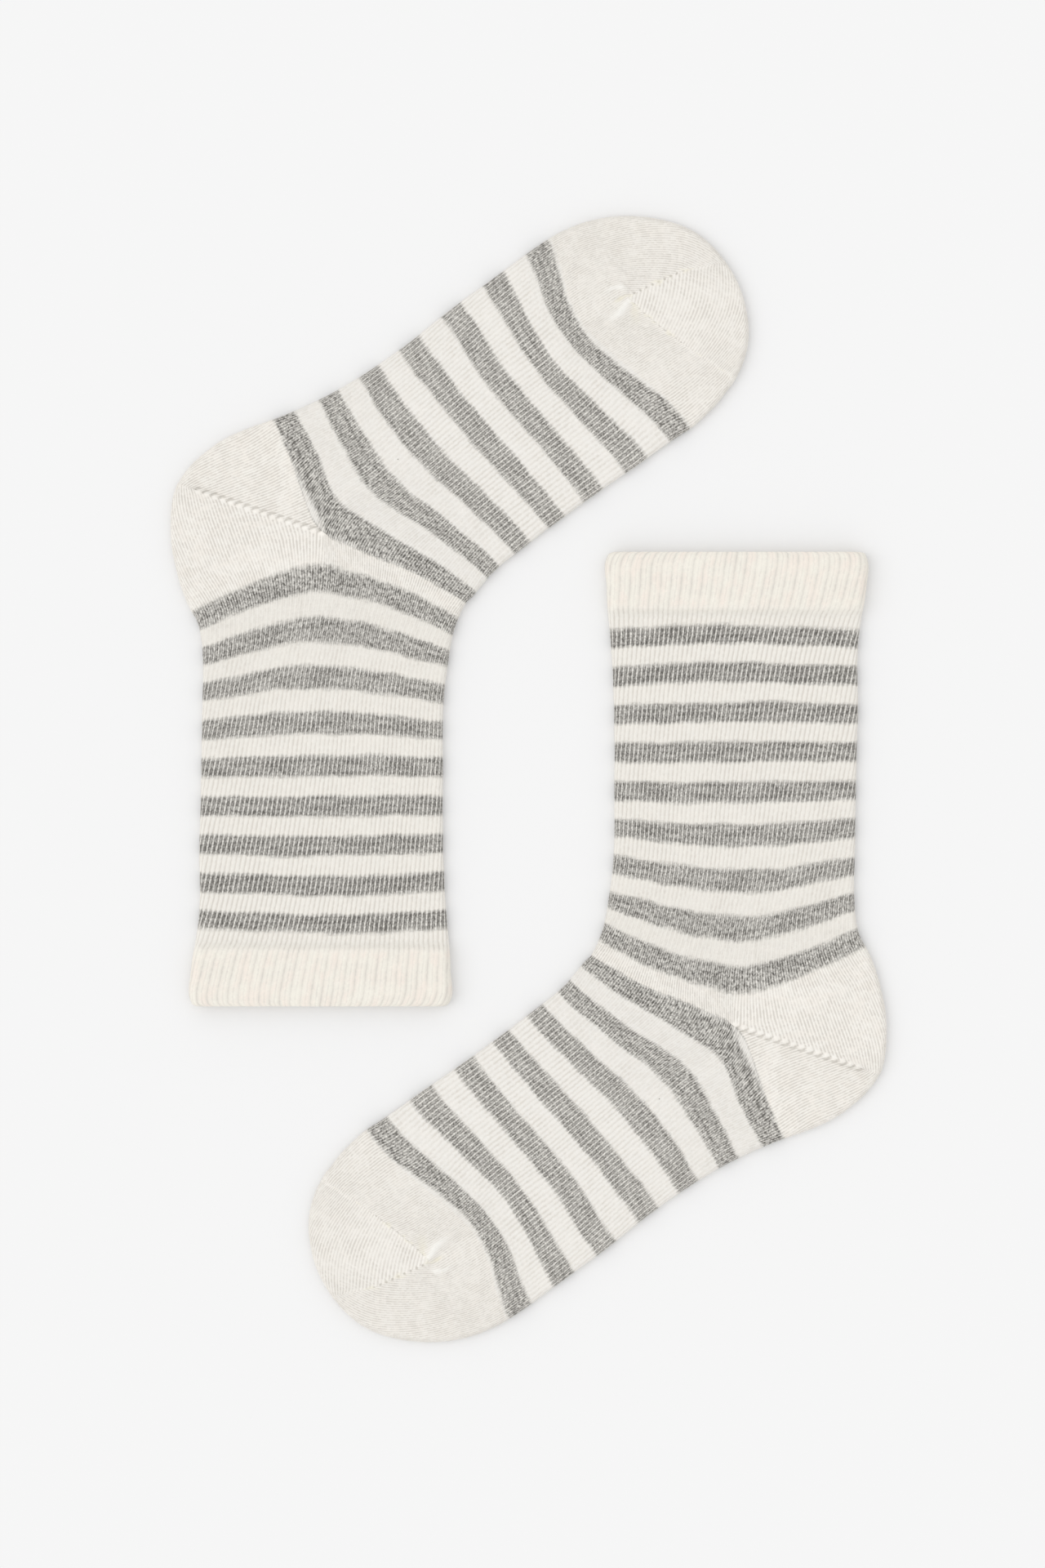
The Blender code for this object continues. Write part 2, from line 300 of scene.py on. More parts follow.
def smoothly(course, courses, values):
    """A value from a table, on a curve with no corners."""
    courses, values = np.array(courses, float), np.array(values, float)
    tilt = np.gradient(values, courses)
    i = int(np.clip(np.searchsorted(courses, course, side="right") - 1, 0, len(courses) - 2))
    span = courses[i + 1] - courses[i]
    share = (course - courses[i]) / span
    square, cube = share**2, share**3
    return (
        values[i] * (2 * cube - 3 * square + 1)
        + tilt[i] * span * (cube - 2 * square + share)
        + values[i + 1] * (3 * square - 2 * cube)
        + tilt[i + 1] * span * (cube - square)
    )


front_fold = FRONTS[: len(LINES)]
print(f"down the front fold: {np.linalg.norm(np.diff(front_fold, axis=0), axis=1).sum():.0f} mm")

# %% [markdown]
# ## One ring of the tube
# Each course is a ring: over the top from the front fold to the back fold, round the fold, and back along
# the underside. A flattened tube has straight runs and half-round folds, so the ring is worked out from the
# length of its path, and a stitch keeps its width as it goes round the fold. The knit lies about three
# millimetres high, and the cuff, which is knitted double, lies higher. The wall's inner face is the same
# ring, set in.

# %% Heights and rings
PLAIN_HEIGHT, CUFF_HEIGHT = 3.1, 4.9
WALL, WELT = 1.3, 2.2  # one layer of plain knit, and of the double cuff
RIB_RISE = 0.4  # how far the cuff's ribs stand above it
LIP, LIP_COURSES = 0.715, 2.1  # how far the cuff's faces draw in at the rim, and over how many courses
LIP_CURVE = 1.7  # 1 would make the rim a straight bevel, and more makes it rounder
SET_DOWN = 4.0  # courses over which the cuff comes down to the leg
HEEL_SPREAD, SPREAD_FROM = 0.2, 130  # how much further apart wales lie near the gore, and from which course


def side_way(a, b):
    way = (b - a) / np.linalg.norm(b - a)
    return np.array([-way[1], way[0]])


def cuff_share(course):
    """1 on the cuff, going smoothly to 0 where the leg starts."""
    down = np.clip((course - (LEG_TOP - SET_DOWN)) / SET_DOWN, 0, 1)
    return 1 - down * down * (3 - 2 * down)


def wall_at(course):
    return WALL + (WELT - WALL) * cuff_share(course)


def lip_at(course):
    return LIP * max(0.0, 1 - course / LIP_COURSES) ** LIP_CURVE


def spread_at(course):
    share = np.clip((course - SPREAD_FROM) / (FOOT_TOP - SPREAD_FROM), 0, 1)
    return HEEL_SPREAD * share * share


def spread_out(q, amount):
    """Wales further apart near the middle than near the fold, as they are round a heel."""
    return q + amount * q * (1 - q)


def fold_over(q, length, height, up, inset, edge):
    """How far out and how high a point lies, and how far it has turned over the fold, in radians.

    q is its share of the way from the middle to the fold."""
    centre = height / 2
    radius = centre - inset
    flat = length - edge - radius
    way = q * (flat + radius * math.pi / 2)
    angle = np.clip((way - flat) / radius, 0, math.pi / 2)
    reach = np.where(way < flat, way, flat + radius * np.sin(angle))
    return reach, centre + up * radius * np.cos(angle), angle


def outward(way, angle, up):
    """The way out of the cloth: straight up or down, turning to the way given at a fold."""
    way = way / np.linalg.norm(way, axis=-1, keepdims=True)
    return np.column_stack([way * np.sin(angle)[:, None], up * np.cos(angle)])


# %% One ring
class Ring:
    """A full round course: its three points, its shape, and the wales on its folds and middles."""

    def __init__(self, course, front, middle, back, shape, table):
        self.course, self.spread = course, spread_at(course) if table is LEG_WALES else 0.0
        self.height = PLAIN_HEIGHT + (CUFF_HEIGHT - PLAIN_HEIGHT) * cuff_share(course)
        self.rise, self.lip = RIB_RISE * cuff_share(course), lip_at(course)
        self.front, self.middle, self.back = front, middle, back
        self.back_seen = back  # where the front half thinks that the back fold is, as it rounds the corner
        self.soft, self.bow_front, self.bow_back = shape
        self.wales = [smoothly(course, table[:, 0], table[:, n]) for n in (1, 2, 3, 4)]

    def plan(self, t):
        """Points seen from above, for t from -1 at the front through 0 in the middle to 1 at the back."""
        soft = self.soft
        turn = (np.hypot(t, soft) - soft) / (math.hypot(1, soft) - soft)
        to_back, to_front = ((turn + t) / 2)[:, None], ((turn - t) / 2)[:, None]
        back = np.where(t[:, None] < 0, self.back_seen, self.back)
        lift_front = side_way(self.front, self.middle) * 4 * self.bow_front
        lift_back = side_way(self.middle, self.back) * 4 * self.bow_back
        return (
            self.middle
            + (back - self.middle) * to_back
            + (self.front - self.middle) * to_front
            + lift_front * to_front * (1 - to_front)
            + lift_back * to_back * (1 - to_back)
        )

    def points(self, wales, inset=0.0):
        """Points on the ring for these wales. inset is how deep in the wall they lie."""
        front, middle, back, under = self.wales
        wales = (np.asarray(wales, float) - front) % WALES_ROUND + front
        knots = [front, middle, back, under, front + WALES_ROUND]
        quarter = np.interp(wales, knots, [0, 1, 2, 3, 4])
        q = np.where(quarter <= 2, np.abs(quarter - 1), np.abs(quarter - 3))
        q = np.where((quarter > 1) & (quarter <= 2), spread_out(q, self.spread), q)
        back_side = (quarter > 1) & (quarter <= 3)
        up = np.where(quarter <= 2, 1.0, -1.0)
        lengths = [np.linalg.norm(p - self.middle) for p in (self.front, self.back)]
        length = np.where(back_side, lengths[1], lengths[0])
        reach, z, angle = fold_over(q, length, self.height, up, inset + self.lip, inset)
        z += np.where(up > 0, self.rise * np.cos(angle) ** 2, 0)
        t = np.where(back_side, 1.0, -1.0) * reach / length
        ends = np.where(back_side[:, None], self.back, self.front)
        return np.column_stack([self.plan(t), z, outward(ends - self.middle, angle, up)])


# %% The ring at any course
def tube_ring(course):
    """The ring at any course of the cuff, the leg or the foot."""
    i = int(np.searchsorted(COURSES, course, side="right") - 1)
    share = (course - COURSES[i]) / (COURSES[i + 1] - COURSES[i])
    points = [along(path, i, share) for path in (FRONTS, MIDDLES, BACKS)]
    shape = SHAPES[i] + (SHAPES[i + 1] - SHAPES[i]) * share
    return Ring(course, *points, shape, LEG_WALES if course < FOOT_TOP else FOOT_WALES)


ring = tube_ring(80)
print(f"across the leg: {np.linalg.norm(ring.back - ring.front):.1f} mm,",
      f"{ring.wales[2] - ring.wales[0]:.1f} wales on the side that shows")

# %% [markdown]
# ## Pockets for the heel and the toe
# A machine knits a heel by going back and forth on half of the needles. Each row is shorter than the last
# until about a third is left, and then each is longer again. The ends of the short rows meet in a slanting
# line, the gore, and the two wedges beside it open into a cup. The same happens at the toe, which a seam
# then closes. A rounded bump with a plain grid would show none of that, so each wedge is a grid of its own
# here: its wales end on the gore, and the other wedge picks them up there.

# %% Wedges
STEP = 0.25  # columns of points lie this share of a wale apart where the knit shows
COARSE = 1.0  # and this far apart on the underside
COURSE_STEP = 0.5
NEARLY = 1e-6  # wales, courses and shares that differ by less are equal
FOLD_FADE = 1.2  # wales past a fold over which the relief goes
INSIDE = -1.0  # the relief that marks a point of the inner face
NO_DYE = (-20.0, 0.0)  # far from any stripe


class Pocket:
    """Short rows of a heel or a toe: wedge 0 narrows from the start ring, wedge 1 widens to the end ring."""

    def __init__(
        self, wale, wales, turns, courses, gore, gore_under, fold, marks, fold_wales, start, end, spreads,
        seamed=False,
    ):
        self.wale, self.wales = wale, wales  # the first wale of its rows, and how many its longest row has
        self.turns, self.courses = turns, courses  # wales left out at each end, and rows of each wedge
        self.spreads = spreads  # how much further apart the wales of each wedge lie near the gore
        self.seamed = seamed
        self.gore, self.gore_under = np.array(gore, float), np.array(gore_under, float)
        self.fold, self.marks, self.fold_wales = fold, marks, fold_wales
        self.start, self.end = start, end

    def ends(self, depth, step, step_under):
        """The first and last column of the row at this depth. Its end on the gore may lie just past them."""
        done = self.turns * depth + NEARLY
        first = self.wale + math.floor(done / step) * step
        return first, self.wale + self.wales - math.floor(done / step_under) * step_under

    def row(self, wedge, share, wales, inset=0.0):
        """Points of one short row, as share goes from 0 to 1 through the wedge."""
        depth = share if wedge == 0 else 1 - share
        first, last = self.wale + self.turns * depth, self.wale + self.wales - self.turns * depth
        near, far = self.marks[wedge], self.marks[wedge + 1]
        fold_point = on_path(self.fold, near + (far - near) * share)
        stations = np.linspace(0, 1, len(self.fold_wales[wedge]))
        fold_wale = smoothly(share, stations, self.fold_wales[wedge])
        inner = [
            np.array([np.interp(depth, gore[:, 0], gore[:, n]) for n in (1, 2)])
            for gore in (self.gore, self.gore_under)
        ]
        top = wales <= fold_wale
        q = np.where(top, (wales - first) / (fold_wale - first), (last - wales) / (last - fold_wale))
        length = np.where(top, *[np.linalg.norm(fold_point - p) for p in inner])
        q = np.where(top, spread_out(np.clip(q, 0, 1), self.spreads[wedge] * (1 - depth)), q)
        up = np.where(top, 1.0, -1.0)
        reach, z, angle = fold_over(np.clip(q, 0, 1), length, PLAIN_HEIGHT, up, inset, inset)
        t = reach / length
        origin = np.where(top[:, None], inner[0], inner[1])
        plan = origin + (fold_point - origin) * t[:, None]
        guide = self.start if wedge == 0 else self.end
        straight = guide.middle + (guide.back - guide.middle) * t[:, None]
        plan += (guide.plan(t) - straight) * (1 - depth) ** 2
        return np.column_stack([plan, z, outward(fold_point - origin, angle, up)]), fold_wale

    def grid(self, wedge, columns, steps, row_step=COURSE_STEP, inset=0.0):
        """The whole wedge, with NaN past the ends of its rows: its points and their labels."""
        rows = np.arange(0, self.courses + 0.01, row_step)
        points = np.full((len(rows), len(columns), 6), np.nan)
        relief = np.zeros(points.shape[:2])
        for n, row in enumerate(rows):
            share = row / self.courses
            depth = share if wedge == 0 else 1 - share
            first, last = self.ends(depth, *steps)
            knitted = (columns >= first - NEARLY) & (columns <= last + NEARLY)
            points[n, knitted], fold_wale = self.row(wedge, share, columns[knitted], inset)
            relief[n] = np.clip(1 - (columns - fold_wale) / FOLD_FADE, 0, 1) if inset == 0 else INSIDE
        wales = np.broadcast_to(columns, points.shape[:2])
        first_course = self.start.course if wedge == 0 else self.start.course - self.courses
        courses = np.broadcast_to((first_course + rows)[:, None], points.shape[:2])
        if self.seamed or wedge == 0:
            return points, wales, courses, relief, 1.0, *NO_DYE
        return points, wales, courses, relief, 1.0, (rows - self.courses)[:, None], 1.0


# %% Rings above a pocket
def pocket_rings(first_line, last_line, fold, mark, closing, table):
    """Full rings from a line to the start of a pocket, where the back fold has only gone to its mark."""
    paths = [stretch_of_path(FRONTS, first_line, last_line), (MIDDLES[[first_line, last_line]], [0, 1])]
    first_course, last_course = COURSES[first_line], COURSES[last_line]
    rings = []
    for course in np.arange(first_course, last_course + 0.01, COURSE_STEP):
        share = (course - first_course) / (last_course - first_course)
        points = [on_path(path, share) for path in paths] + [on_path(fold, mark * share)]
        shape = SHAPES[first_line] + (np.array(closing) - SHAPES[first_line]) * share
        rings.append(Ring(course, *points, shape, table))
        if table is LEG_WALES:
            rings[-1].back_seen = points[2] + (BACKS[last_line] - points[2]) * share
    return rings


# %% The pockets of the heel and the toe
HEEL_LINES = line_number(HEEL_TOP), line_number(FOOT_TOP)
heel_fold = stretch_of_path(BACKS, *HEEL_LINES)
heel_marks = [share_nearest(heel_fold, p) for p in ((93.8, -52.0), (94.6, -79.5))] + [1.0]
heel_rings = pocket_rings(*HEEL_LINES, heel_fold, heel_marks[0], (0.2, -1.6, -0.3), LEG_WALES)
heel = Pocket(
    wale=HEEL_WALE,
    wales=50,
    turns=15,
    courses=36,
    gore=[(0, 55.4, -66.5), (1, 88.7, -77.4)],
    gore_under=[(0, 55.4, -66.5), (1, 76.6, -73.5)],
    fold=heel_fold,
    marks=heel_marks,
    fold_wales=[(69.0, 67.6, 65.8, 64.5), (64.5, 66.5, 67.5, 66.0)],
    start=heel_rings[-1],
    end=tube_ring(FOOT_TOP),
    spreads=(HEEL_SPREAD, 0.0),
)
TOE_LINES = line_number(TOE_TOP), line_number(SEAM)
toe_fold = stretch_of_path(BACKS, *TOE_LINES)
toe_marks = [share_nearest(toe_fold, p) for p in ((-17.5, -150.2), (-54.0, -139.4))] + [1.0]
toe_rings = pocket_rings(*TOE_LINES, toe_fold, toe_marks[0], (0.0, 1.0, 0.0), FOOT_WALES)
last = toe_rings[-1]
toe = Pocket(
    wale=TOE_WALE,
    wales=56,
    turns=11,
    courses=44,
    gore=[(0, -26.5, -129.5), (0.62, -40.8, -136.3), (1, -49.1, -138.2)],
    gore_under=[(0, -26.5, -129.5), (1, -33.3, -131.9)],
    fold=toe_fold,
    marks=toe_marks,
    fold_wales=[(63.0, 60.6, 58.2, 56.0), (56.0, 60.3, 67.0)],
    start=last,
    end=Ring(SEAM, last.front, last.middle, last.front, (0.0, 1.0, -1.0), FOOT_WALES),
    spreads=(0.0, 0.45),
    seamed=True,
)
print("heel fold marks", np.round(heel_marks, 3), "toe fold marks", np.round(toe_marks, 3))

# %% [markdown]
# ## Creases and gores
# Where the toe's seam starts, the knit puckers into a few short ridges with troughs between them. Along a
# gore each row ends in a stitch that turns back, which shows as a row of small hooks on the heel and of
# dots on the toe. A cloth simulation could pucker the toe, but never in the place and the way that one sock
# has it. So each ridge and trough is a listed line, with its own width and heights, and each gore
# is a line with a pitch.


# %% Creases and gores, listed
CREASES = [  # points in mm along a ridge or a trough, its half width in mm, and its height at each point
    (
        [(-28.6, -130.2), (-26.4, -127.7), (-24.7, -125.4), (-22.9, -124.0), (-20.0, -122.2)],
        1.2,
        [0.1, 0.8, 0.75, 0.5, 0],
    ),
    ([(-27.8, -131.0), (-25.0, -132.1), (-22.4, -131.9), (-19.2, -129.9)], 0.8, [0.0, 0.6, 0.55, 0.0]),
    ([(-26.8, -130.0), (-24.6, -129.0), (-22.6, -127.9)], 0.6, [-0.2, -0.6, -0.1]),
    ([(-28.8, -123.8), (-28.2, -126.4)], 1.7, [-0.25, -0.35]),
]
AWAY = 99.0  # the label of a point that is near no gore
HOOK_MM, DOT_MM = 2.34, 1.8  # from one stitch that turns to the next, along the heel's gore and the toe's
GORE_THINS = 4  # mm past its fade over which a gore's row of stitches grows one half stitch thinner
GORES = {  # the line in mm, the pitch, the distance over which its stitches fade, and how faint they start
    "heel": [([(54.6, -65.9), (88.7, -77.4)], HOOK_MM, 60.0, 0.0)],
    "toe": [
        ([(-27.6, -130.2), (-40.8, -136.3), (-49.1, -138.2)], DOT_MM, 14.0, 0.0),
        (
            [
                (-26.5, -129.5),
                (-32.1, -124.3),
                (-36.4, -120.8),
                (-41.5, -116.9),
                (-46.7, -113.5),
                (-55.7, -107.3),
            ],
            DOT_MM,
            20.0,
            0.3,
        ),
    ],
}


# %% How far a crease lifts a place, and where it lies on a gore
def near_line(line, here):
    """How far places lie from a line, how far along it, both in millimetres, and on which side."""
    line = np.array(line, float)
    best, along, side = (np.full(len(here), value) for value in (np.inf, 0.0, 0.0))
    gone = 0.0
    for start, end in zip(line, line[1:]):
        way = end - start
        length = np.linalg.norm(way)
        share = np.clip((here - start) @ way / length**2, 0, 1)
        off = here - start - share[:, None] * way
        gap = np.linalg.norm(off, axis=1)
        nearer = gap < best
        along = np.where(nearer, gone + share * length, along)
        side = np.where(nearer, np.sign(way[0] * off[:, 1] - way[1] * off[:, 0]), side)
        best = np.minimum(best, gap)
        gone += length
    return best, along, side


def crease(here):
    """How far the cloth rises or sinks at each place, in millimetres."""
    total = np.zeros(len(here))
    for line, width, heights in CREASES:
        gap, along, _ = near_line(line, here)
        marks = np.concatenate([[0], np.cumsum(np.linalg.norm(np.diff(line, axis=0), axis=1))])
        total += np.interp(along, marks, heights) * np.exp(-((gap / width) ** 2))
    return total


def turns(name, here):
    """How many stitches along a gore each place lies, how many half stitches beside it, and how many mm."""
    best, stitches, clear = np.full(len(here), AWAY), np.zeros(len(here)), np.full(len(here), AWAY)
    for line, pitch, fade, faint in GORES.get(name, []):
        gap, along, side = near_line(line, here)
        clear = np.minimum(clear, gap)
        aside = side * (gap * 2 / pitch + np.clip(along - fade, 0, None) / GORE_THINS + faint)
        nearer = np.abs(aside) < np.abs(best)
        best, stitches = np.where(nearer, aside, best), np.where(nearer, along / pitch, stitches)
    return stitches, best, clear


print(len(CREASES), "creases, and gores on the", " and the ".join(GORES))

# %% [markdown]
# ## From grids to a closed wall
# A shell of cloth needs two faces and no open edge. Modifiers could thicken the outer face, but they would
# double its stitches on the inside, where nobody sees them. So the outer face is fine, the inner one is
# coarse, and a zip of triangles joins any two edges whose points don't match. Grids are laid side by side
# and points that coincide are merged, while each corner of a face keeps its own wale and course for the
# colours.

# %% A patchwork of grids
LABELS = ("wale", "course", "relief", "split", "dye", "edge", "stitches_along", "aside", "clear", "fold")
KEY_PER_MM = 1e4  # points that are the same to this share of a millimetre are merged


class Patchwork:
    """Grids of points gathered into one mesh.

    relief is how much of the stitch relief a point gets, and split how far the legs of its stitch part.
    dye is how many courses it lies inside a grey stripe, or less than 0 outside, and edge is 1 where the
    stripe's nearest edge is the one towards the cuff and -1 where it is the other. mesh adds where a point
    lies along a gore and beside it, how clear of one it is in mm, and how far a crease lifts it."""

    def __init__(self):
        self.points, self.faces, self.knit = [], [], []
        self.count = 0

    def add(self, points, wales, courses, relief, split, dye, edge):
        knit = wales, courses, relief, split, dye, edge
        index = np.arange(self.count, self.count + len(points))
        self.points.append(points)
        self.knit.append(np.column_stack([np.broadcast_to(value, len(points)) for value in knit]))
        self.count += len(points)
        return index

    def grid(self, points, *knit, flip=False):
        """Rows of points. A cell with one missing corner becomes a triangle. Returns each point's index."""
        shape = points.shape[:2]
        known = ~np.isnan(points[..., 0])
        index = np.full(shape, -1)
        index[known] = self.add(points[known], *(np.broadcast_to(value, shape)[known] for value in knit))
        corners = np.stack([index[:-1, :-1], index[:-1, 1:], index[1:, 1:], index[1:, :-1]], axis=-1)
        corners = corners.reshape(-1, 4)
        missing = (corners < 0).sum(axis=1)
        self.keep(corners[missing == 0], flip)
        self.keep(np.array([[c for c in row if c >= 0] for row in corners[missing == 1]]), flip)
        return index

    def keep(self, faces, flip=False):
        self.faces.extend((faces[:, ::-1] if flip and len(faces) else faces).tolist())

    def zip(self, a, b, share_a, share_b, flip=False):
        """Triangles between two edges, each a list of points with its share of the way along."""
        i = j = 0
        made = []
        while i < len(a) - 1 or j < len(b) - 1:
            if j == len(b) - 1 or (i < len(a) - 1 and share_a[i + 1] <= share_b[j + 1] + NEARLY):
                made.append((a[i], a[i + 1], b[j]))
                i += 1
            else:
                made.append((a[i], b[j + 1], b[j]))
                j += 1
        self.keep(np.array(made), flip)

    def mesh(self, name):
        """The merged mesh, with its labels on its points and, as a UV map, on its corners."""
        points, knit = np.vstack(self.points), np.vstack(self.knit)
        points, out = points[:, :3], points[:, 3:]
        here = points[:, :2]
        fold = crease(here) * np.clip(knit[:, 2], 0, 1) * np.clip(out[:, 2], 0, 1)
        points[:, 2] += fold
        knit = np.column_stack([knit, *turns(name, here), fold])
        keys = np.round(points * KEY_PER_MM).astype(np.int64)
        _, first, merged = np.unique(keys, axis=0, return_index=True, return_inverse=True)
        merged = merged.reshape(-1).tolist()
        faces, uses = [], []
        for face in self.faces:
            ends = [merged[c] for c in face]
            whole = [n for n in reversed(range(len(face))) if ends[n] != ends[n - 1]]
            if len(whole) > 2:
                faces.append([ends[n] for n in whole])
                uses.extend(face[n] for n in whole)
        mesh = bpy.data.meshes.new(name)
        mesh.from_pydata((points[first] * MM).tolist(), [], faces)
        for n, label in enumerate(LABELS):
            values = mesh.attributes.new(label, "FLOAT", "POINT").data
            values.foreach_set("value", knit[first, n].astype(np.float32))
        ways = mesh.attributes.new("out", "FLOAT_VECTOR", "POINT").data
        ways.foreach_set("vector", out[first].astype(np.float32).ravel())
        stitches = mesh.uv_layers.new(name="stitches")
        stitches.uv.foreach_set("vector", knit[uses, :2].astype(np.float32).ravel())
        mesh.shade_smooth()
        return mesh


# %% [markdown]
# ## Stripes
# A stripe is some courses knitted in grey: seven of them on the leg and nine on the foot, whose rounds are
# shorter. A striped picture laid over the mesh would do for one view, but counted courses go round the tube
# and bend at the heel by themselves. No knitted stripe is quite level, so each one strays a little here and
# there.

# %% Stripes
LEG_STRIPES = 30 + 14 * np.arange(9)  # the courses in the middle of the grey stripes
FOOT_STRIPES = 159 + 19 * np.arange(7)
LEG_HALF, FOOT_HALF = 3.5, 4.5  # half the courses of a stripe
# How many courses each stripe strays towards the cuff, at five places from the front fold to the back one.
STRAY_AT = (0.15, 0.35, 0.5, 0.65, 0.85)
STRAYS = np.array([
    (-0.15, 0.3, 0.15, -0.4, -0.8),
    (0.05, 0.4, 0.45, -0.2, -0.1),
    (-0.2, 0.2, 0.05, 0.35, 0.15),
    (0.3, -0.2, 0.25, 0.35, 0.6),
    (-0.2, -0.1, 0.0, 0.8, 0.35),
    (0.05, 0.4, 0.8, 0.5, 0.5),
    (0.3, -0.15, 0.2, 0.0, -0.05),
    (0.05, 0.8, 0.8, -0.3, 0.5),
    (0.6, 1.0, 0.4, 0.5, 1.1),
    (0.0, -0.1, 0.0, 0.0, 0.0),
    (-0.1, 0.6, 0.6, -0.6, 0.05),
    (0.1, 0.65, 0.5, -0.25, 0.1),
    (0.35, 0.4, 0.25, -0.3, 0.6),
    (0.7, 0.6, 0.05, 0.0, -0.7),
    (0.3, 0.3, 0.3, 0.1, 0.6),
    (0.35, 1.9, 1.2, 0.9, 0.75),
])
# How many courses narrower some stripes are on one side, and where in wales and courses.
FIRST_SLIMMER = 0.9  # the first of all, towards the cuff
LAST_SLIMMER, LAST_WALE, LAST_REACH, LAST_FROM = 0.7, 36, 15, 266  # the last one, in its middle
GORE_SLIMMER, GORE_SHIFT, GORE_EDGE, GORE_DEPTH = 1.7, 2, 157, 2.5  # the foot's first, beside the gore
GORE_AHEAD, GORE_BEHIND = 2.5, 7.5  # wales over which that goes, ahead of the gore and behind it


# %% How far inside a stripe a place lies
def stray(ring, wales):
    """How far the stripes stray at these wales of a ring, and on the underside half-way between its folds."""
    front, _, back, _ = ring.wales
    share = np.clip((wales - front) / (back - front), STRAY_AT[0], STRAY_AT[-1])
    under = np.clip((wales - back) / (front + WALES_ROUND - back), 0, 1)
    share = share - under * (STRAY_AT[-1] - STRAY_AT[0])
    middles = np.concatenate([LEG_STRIPES, FOOT_STRIPES])
    return np.interp(share, STRAY_AT, [np.interp(ring.course, middles, column) for column in STRAYS.T])


def dyed(courses):
    """How far inside a stripe each course lies, and which edge of it is nearer."""
    courses = np.asarray(courses, float)
    middles = np.concatenate([LEG_STRIPES, FOOT_STRIPES])
    halves = np.where(middles < FOOT_TOP, LEG_HALF, FOOT_HALF)
    inside = halves - np.abs(courses[..., None] - middles)
    nearest = inside.argmax(axis=-1)
    return inside.max(axis=-1), np.sign(middles[nearest] - courses)


def slim(courses, wales, edge):
    """How many courses a stripe narrows: the first of all, the foot's first beside the gore, and the last."""
    beside = wales - HEEL_WALE - GORE_SHIFT
    width = np.where(beside < 0, GORE_AHEAD, GORE_BEHIND)
    at_gore = (np.abs(courses - GORE_EDGE) < GORE_DEPTH) * (edge > 0)
    at_gore = GORE_SLIMMER * np.exp(-((beside / width) ** 2)) * at_gore
    first = FIRST_SLIMMER * (courses < LEG_STRIPES[0]) * (edge > 0)
    last = LAST_SLIMMER * np.exp(-(((wales - LAST_WALE) / LAST_REACH) ** 2)) * (courses > LAST_FROM)
    return at_gore + first + last


def no_heel_stripe(courses, wales, edge):
    """The first stripe of the foot ends where the heel's pocket starts."""
    return np.clip(wales - HEEL_WALE + 2, 0, None) * (edge > 0)


print(len(LEG_STRIPES), "stripes on the leg and", len(FOOT_STRIPES), "on the foot")

# %% [markdown]
# ## The stretches of the tube
# The side that shows gets four points to a wale and two to a course, enough for the two legs of each
# stitch. The side that lies on the table gets one of each. Between them a strip of triangles takes up the
# difference.

# %% The two faces of a tube
# How far the two legs of a stitch part, by course: not at all on the leg, and fully at the heel and the toe.
SPLIT_COURSES, SPLITS = (0, 60, 110, 150, 162, 205, 262, 280), (0, 0.1, 0.25, 1, 0.9, 0.3, 0.35, 1)


def split_at(courses):
    return np.interp(courses, SPLIT_COURSES, SPLITS)


def relief_of(ring, wales):
    """Full relief on the top side, none on the side that rests on the table."""
    front, _, back, _ = ring.wales
    past = np.maximum(front - wales, wales - back) / FOLD_FADE
    return np.clip(1 - past, 0, 1)


def tube_outside(work, rings, first, last, trim=slim):
    """The outer face, fine from wale first to wale last and coarse round the rest. trim narrows a stripe.

    Returns the points and the wales of its first and last ring."""
    courses = np.array([ring.course for ring in rings])
    wales = np.arange(first, last + 0.01, STEP)
    points = np.array([ring.points(wales) for ring in rings])
    relief = np.array([relief_of(ring, wales) for ring in rings])
    splits = split_at(courses)[:, None]
    dye, edge = dyed(courses[:, None] + np.array([stray(ring, wales) for ring in rings]))
    dye = dye - trim(courses[:, None], wales, edge)
    fine = work.grid(points, wales, courses[:, None], relief, splits, dye, edge)
    chosen = sorted(set(range(0, len(rings), 2)) | {len(rings) - 1})
    rest = np.arange(last + COARSE, first + WALES_ROUND - COARSE + 0.01, COARSE)
    points = np.array([rings[n].points(rest) for n in chosen])
    spare = dyed(courses[chosen][:, None] + np.array([stray(rings[n], rest) for n in chosen]))
    coarse = work.grid(points, rest, courses[chosen][:, None], 0.0, splits[chosen], *spare)
    work.zip(fine[:, -1], coarse[:, 0], courses, courses[chosen], flip=True)
    end = float(first + WALES_ROUND)
    spare = splits[:, 0], dye[:, 0], edge[:, 0]
    again = work.add(np.array([ring.points([end])[0] for ring in rings]), end, courses, 0.0, *spare)
    work.zip(again, coarse[:, -1], courses, courses[chosen])
    all_wales = np.concatenate([wales, rest, [end]])
    return [(np.concatenate([fine[n], coarse[n], again[[n]]]), all_wales) for n in (0, -1)]


def tube_inside(work, rings, inset):
    """The inner face, coarse all round. inset gives how deep it lies at each ring."""
    wales = np.arange(0, WALES_ROUND + 0.01, 2 * COARSE)
    points = np.array([ring.points(wales, inset(ring)) for ring in rings])
    courses = np.array([ring.course for ring in rings])
    index = work.grid(points, wales, courses[:, None], INSIDE, 0.0, *NO_DYE, flip=True)
    return [(index[n], wales) for n in (0, -1)]


def close_end(work, outer, inner, flip):
    """Joins an end of the outer face to the same end of the inner one."""
    (a, wales_a), (b, wales_b) = outer, inner
    start = wales_a[0]
    places = (wales_b[:-1] - start) % WALES_ROUND
    turn = np.argsort(places)
    b, places = b[:-1][turn], places[turn] + start
    b, places = np.append(b, b[0]), np.append(places, places[0] + WALES_ROUND)
    work.zip(a, b, wales_a, places, flip)


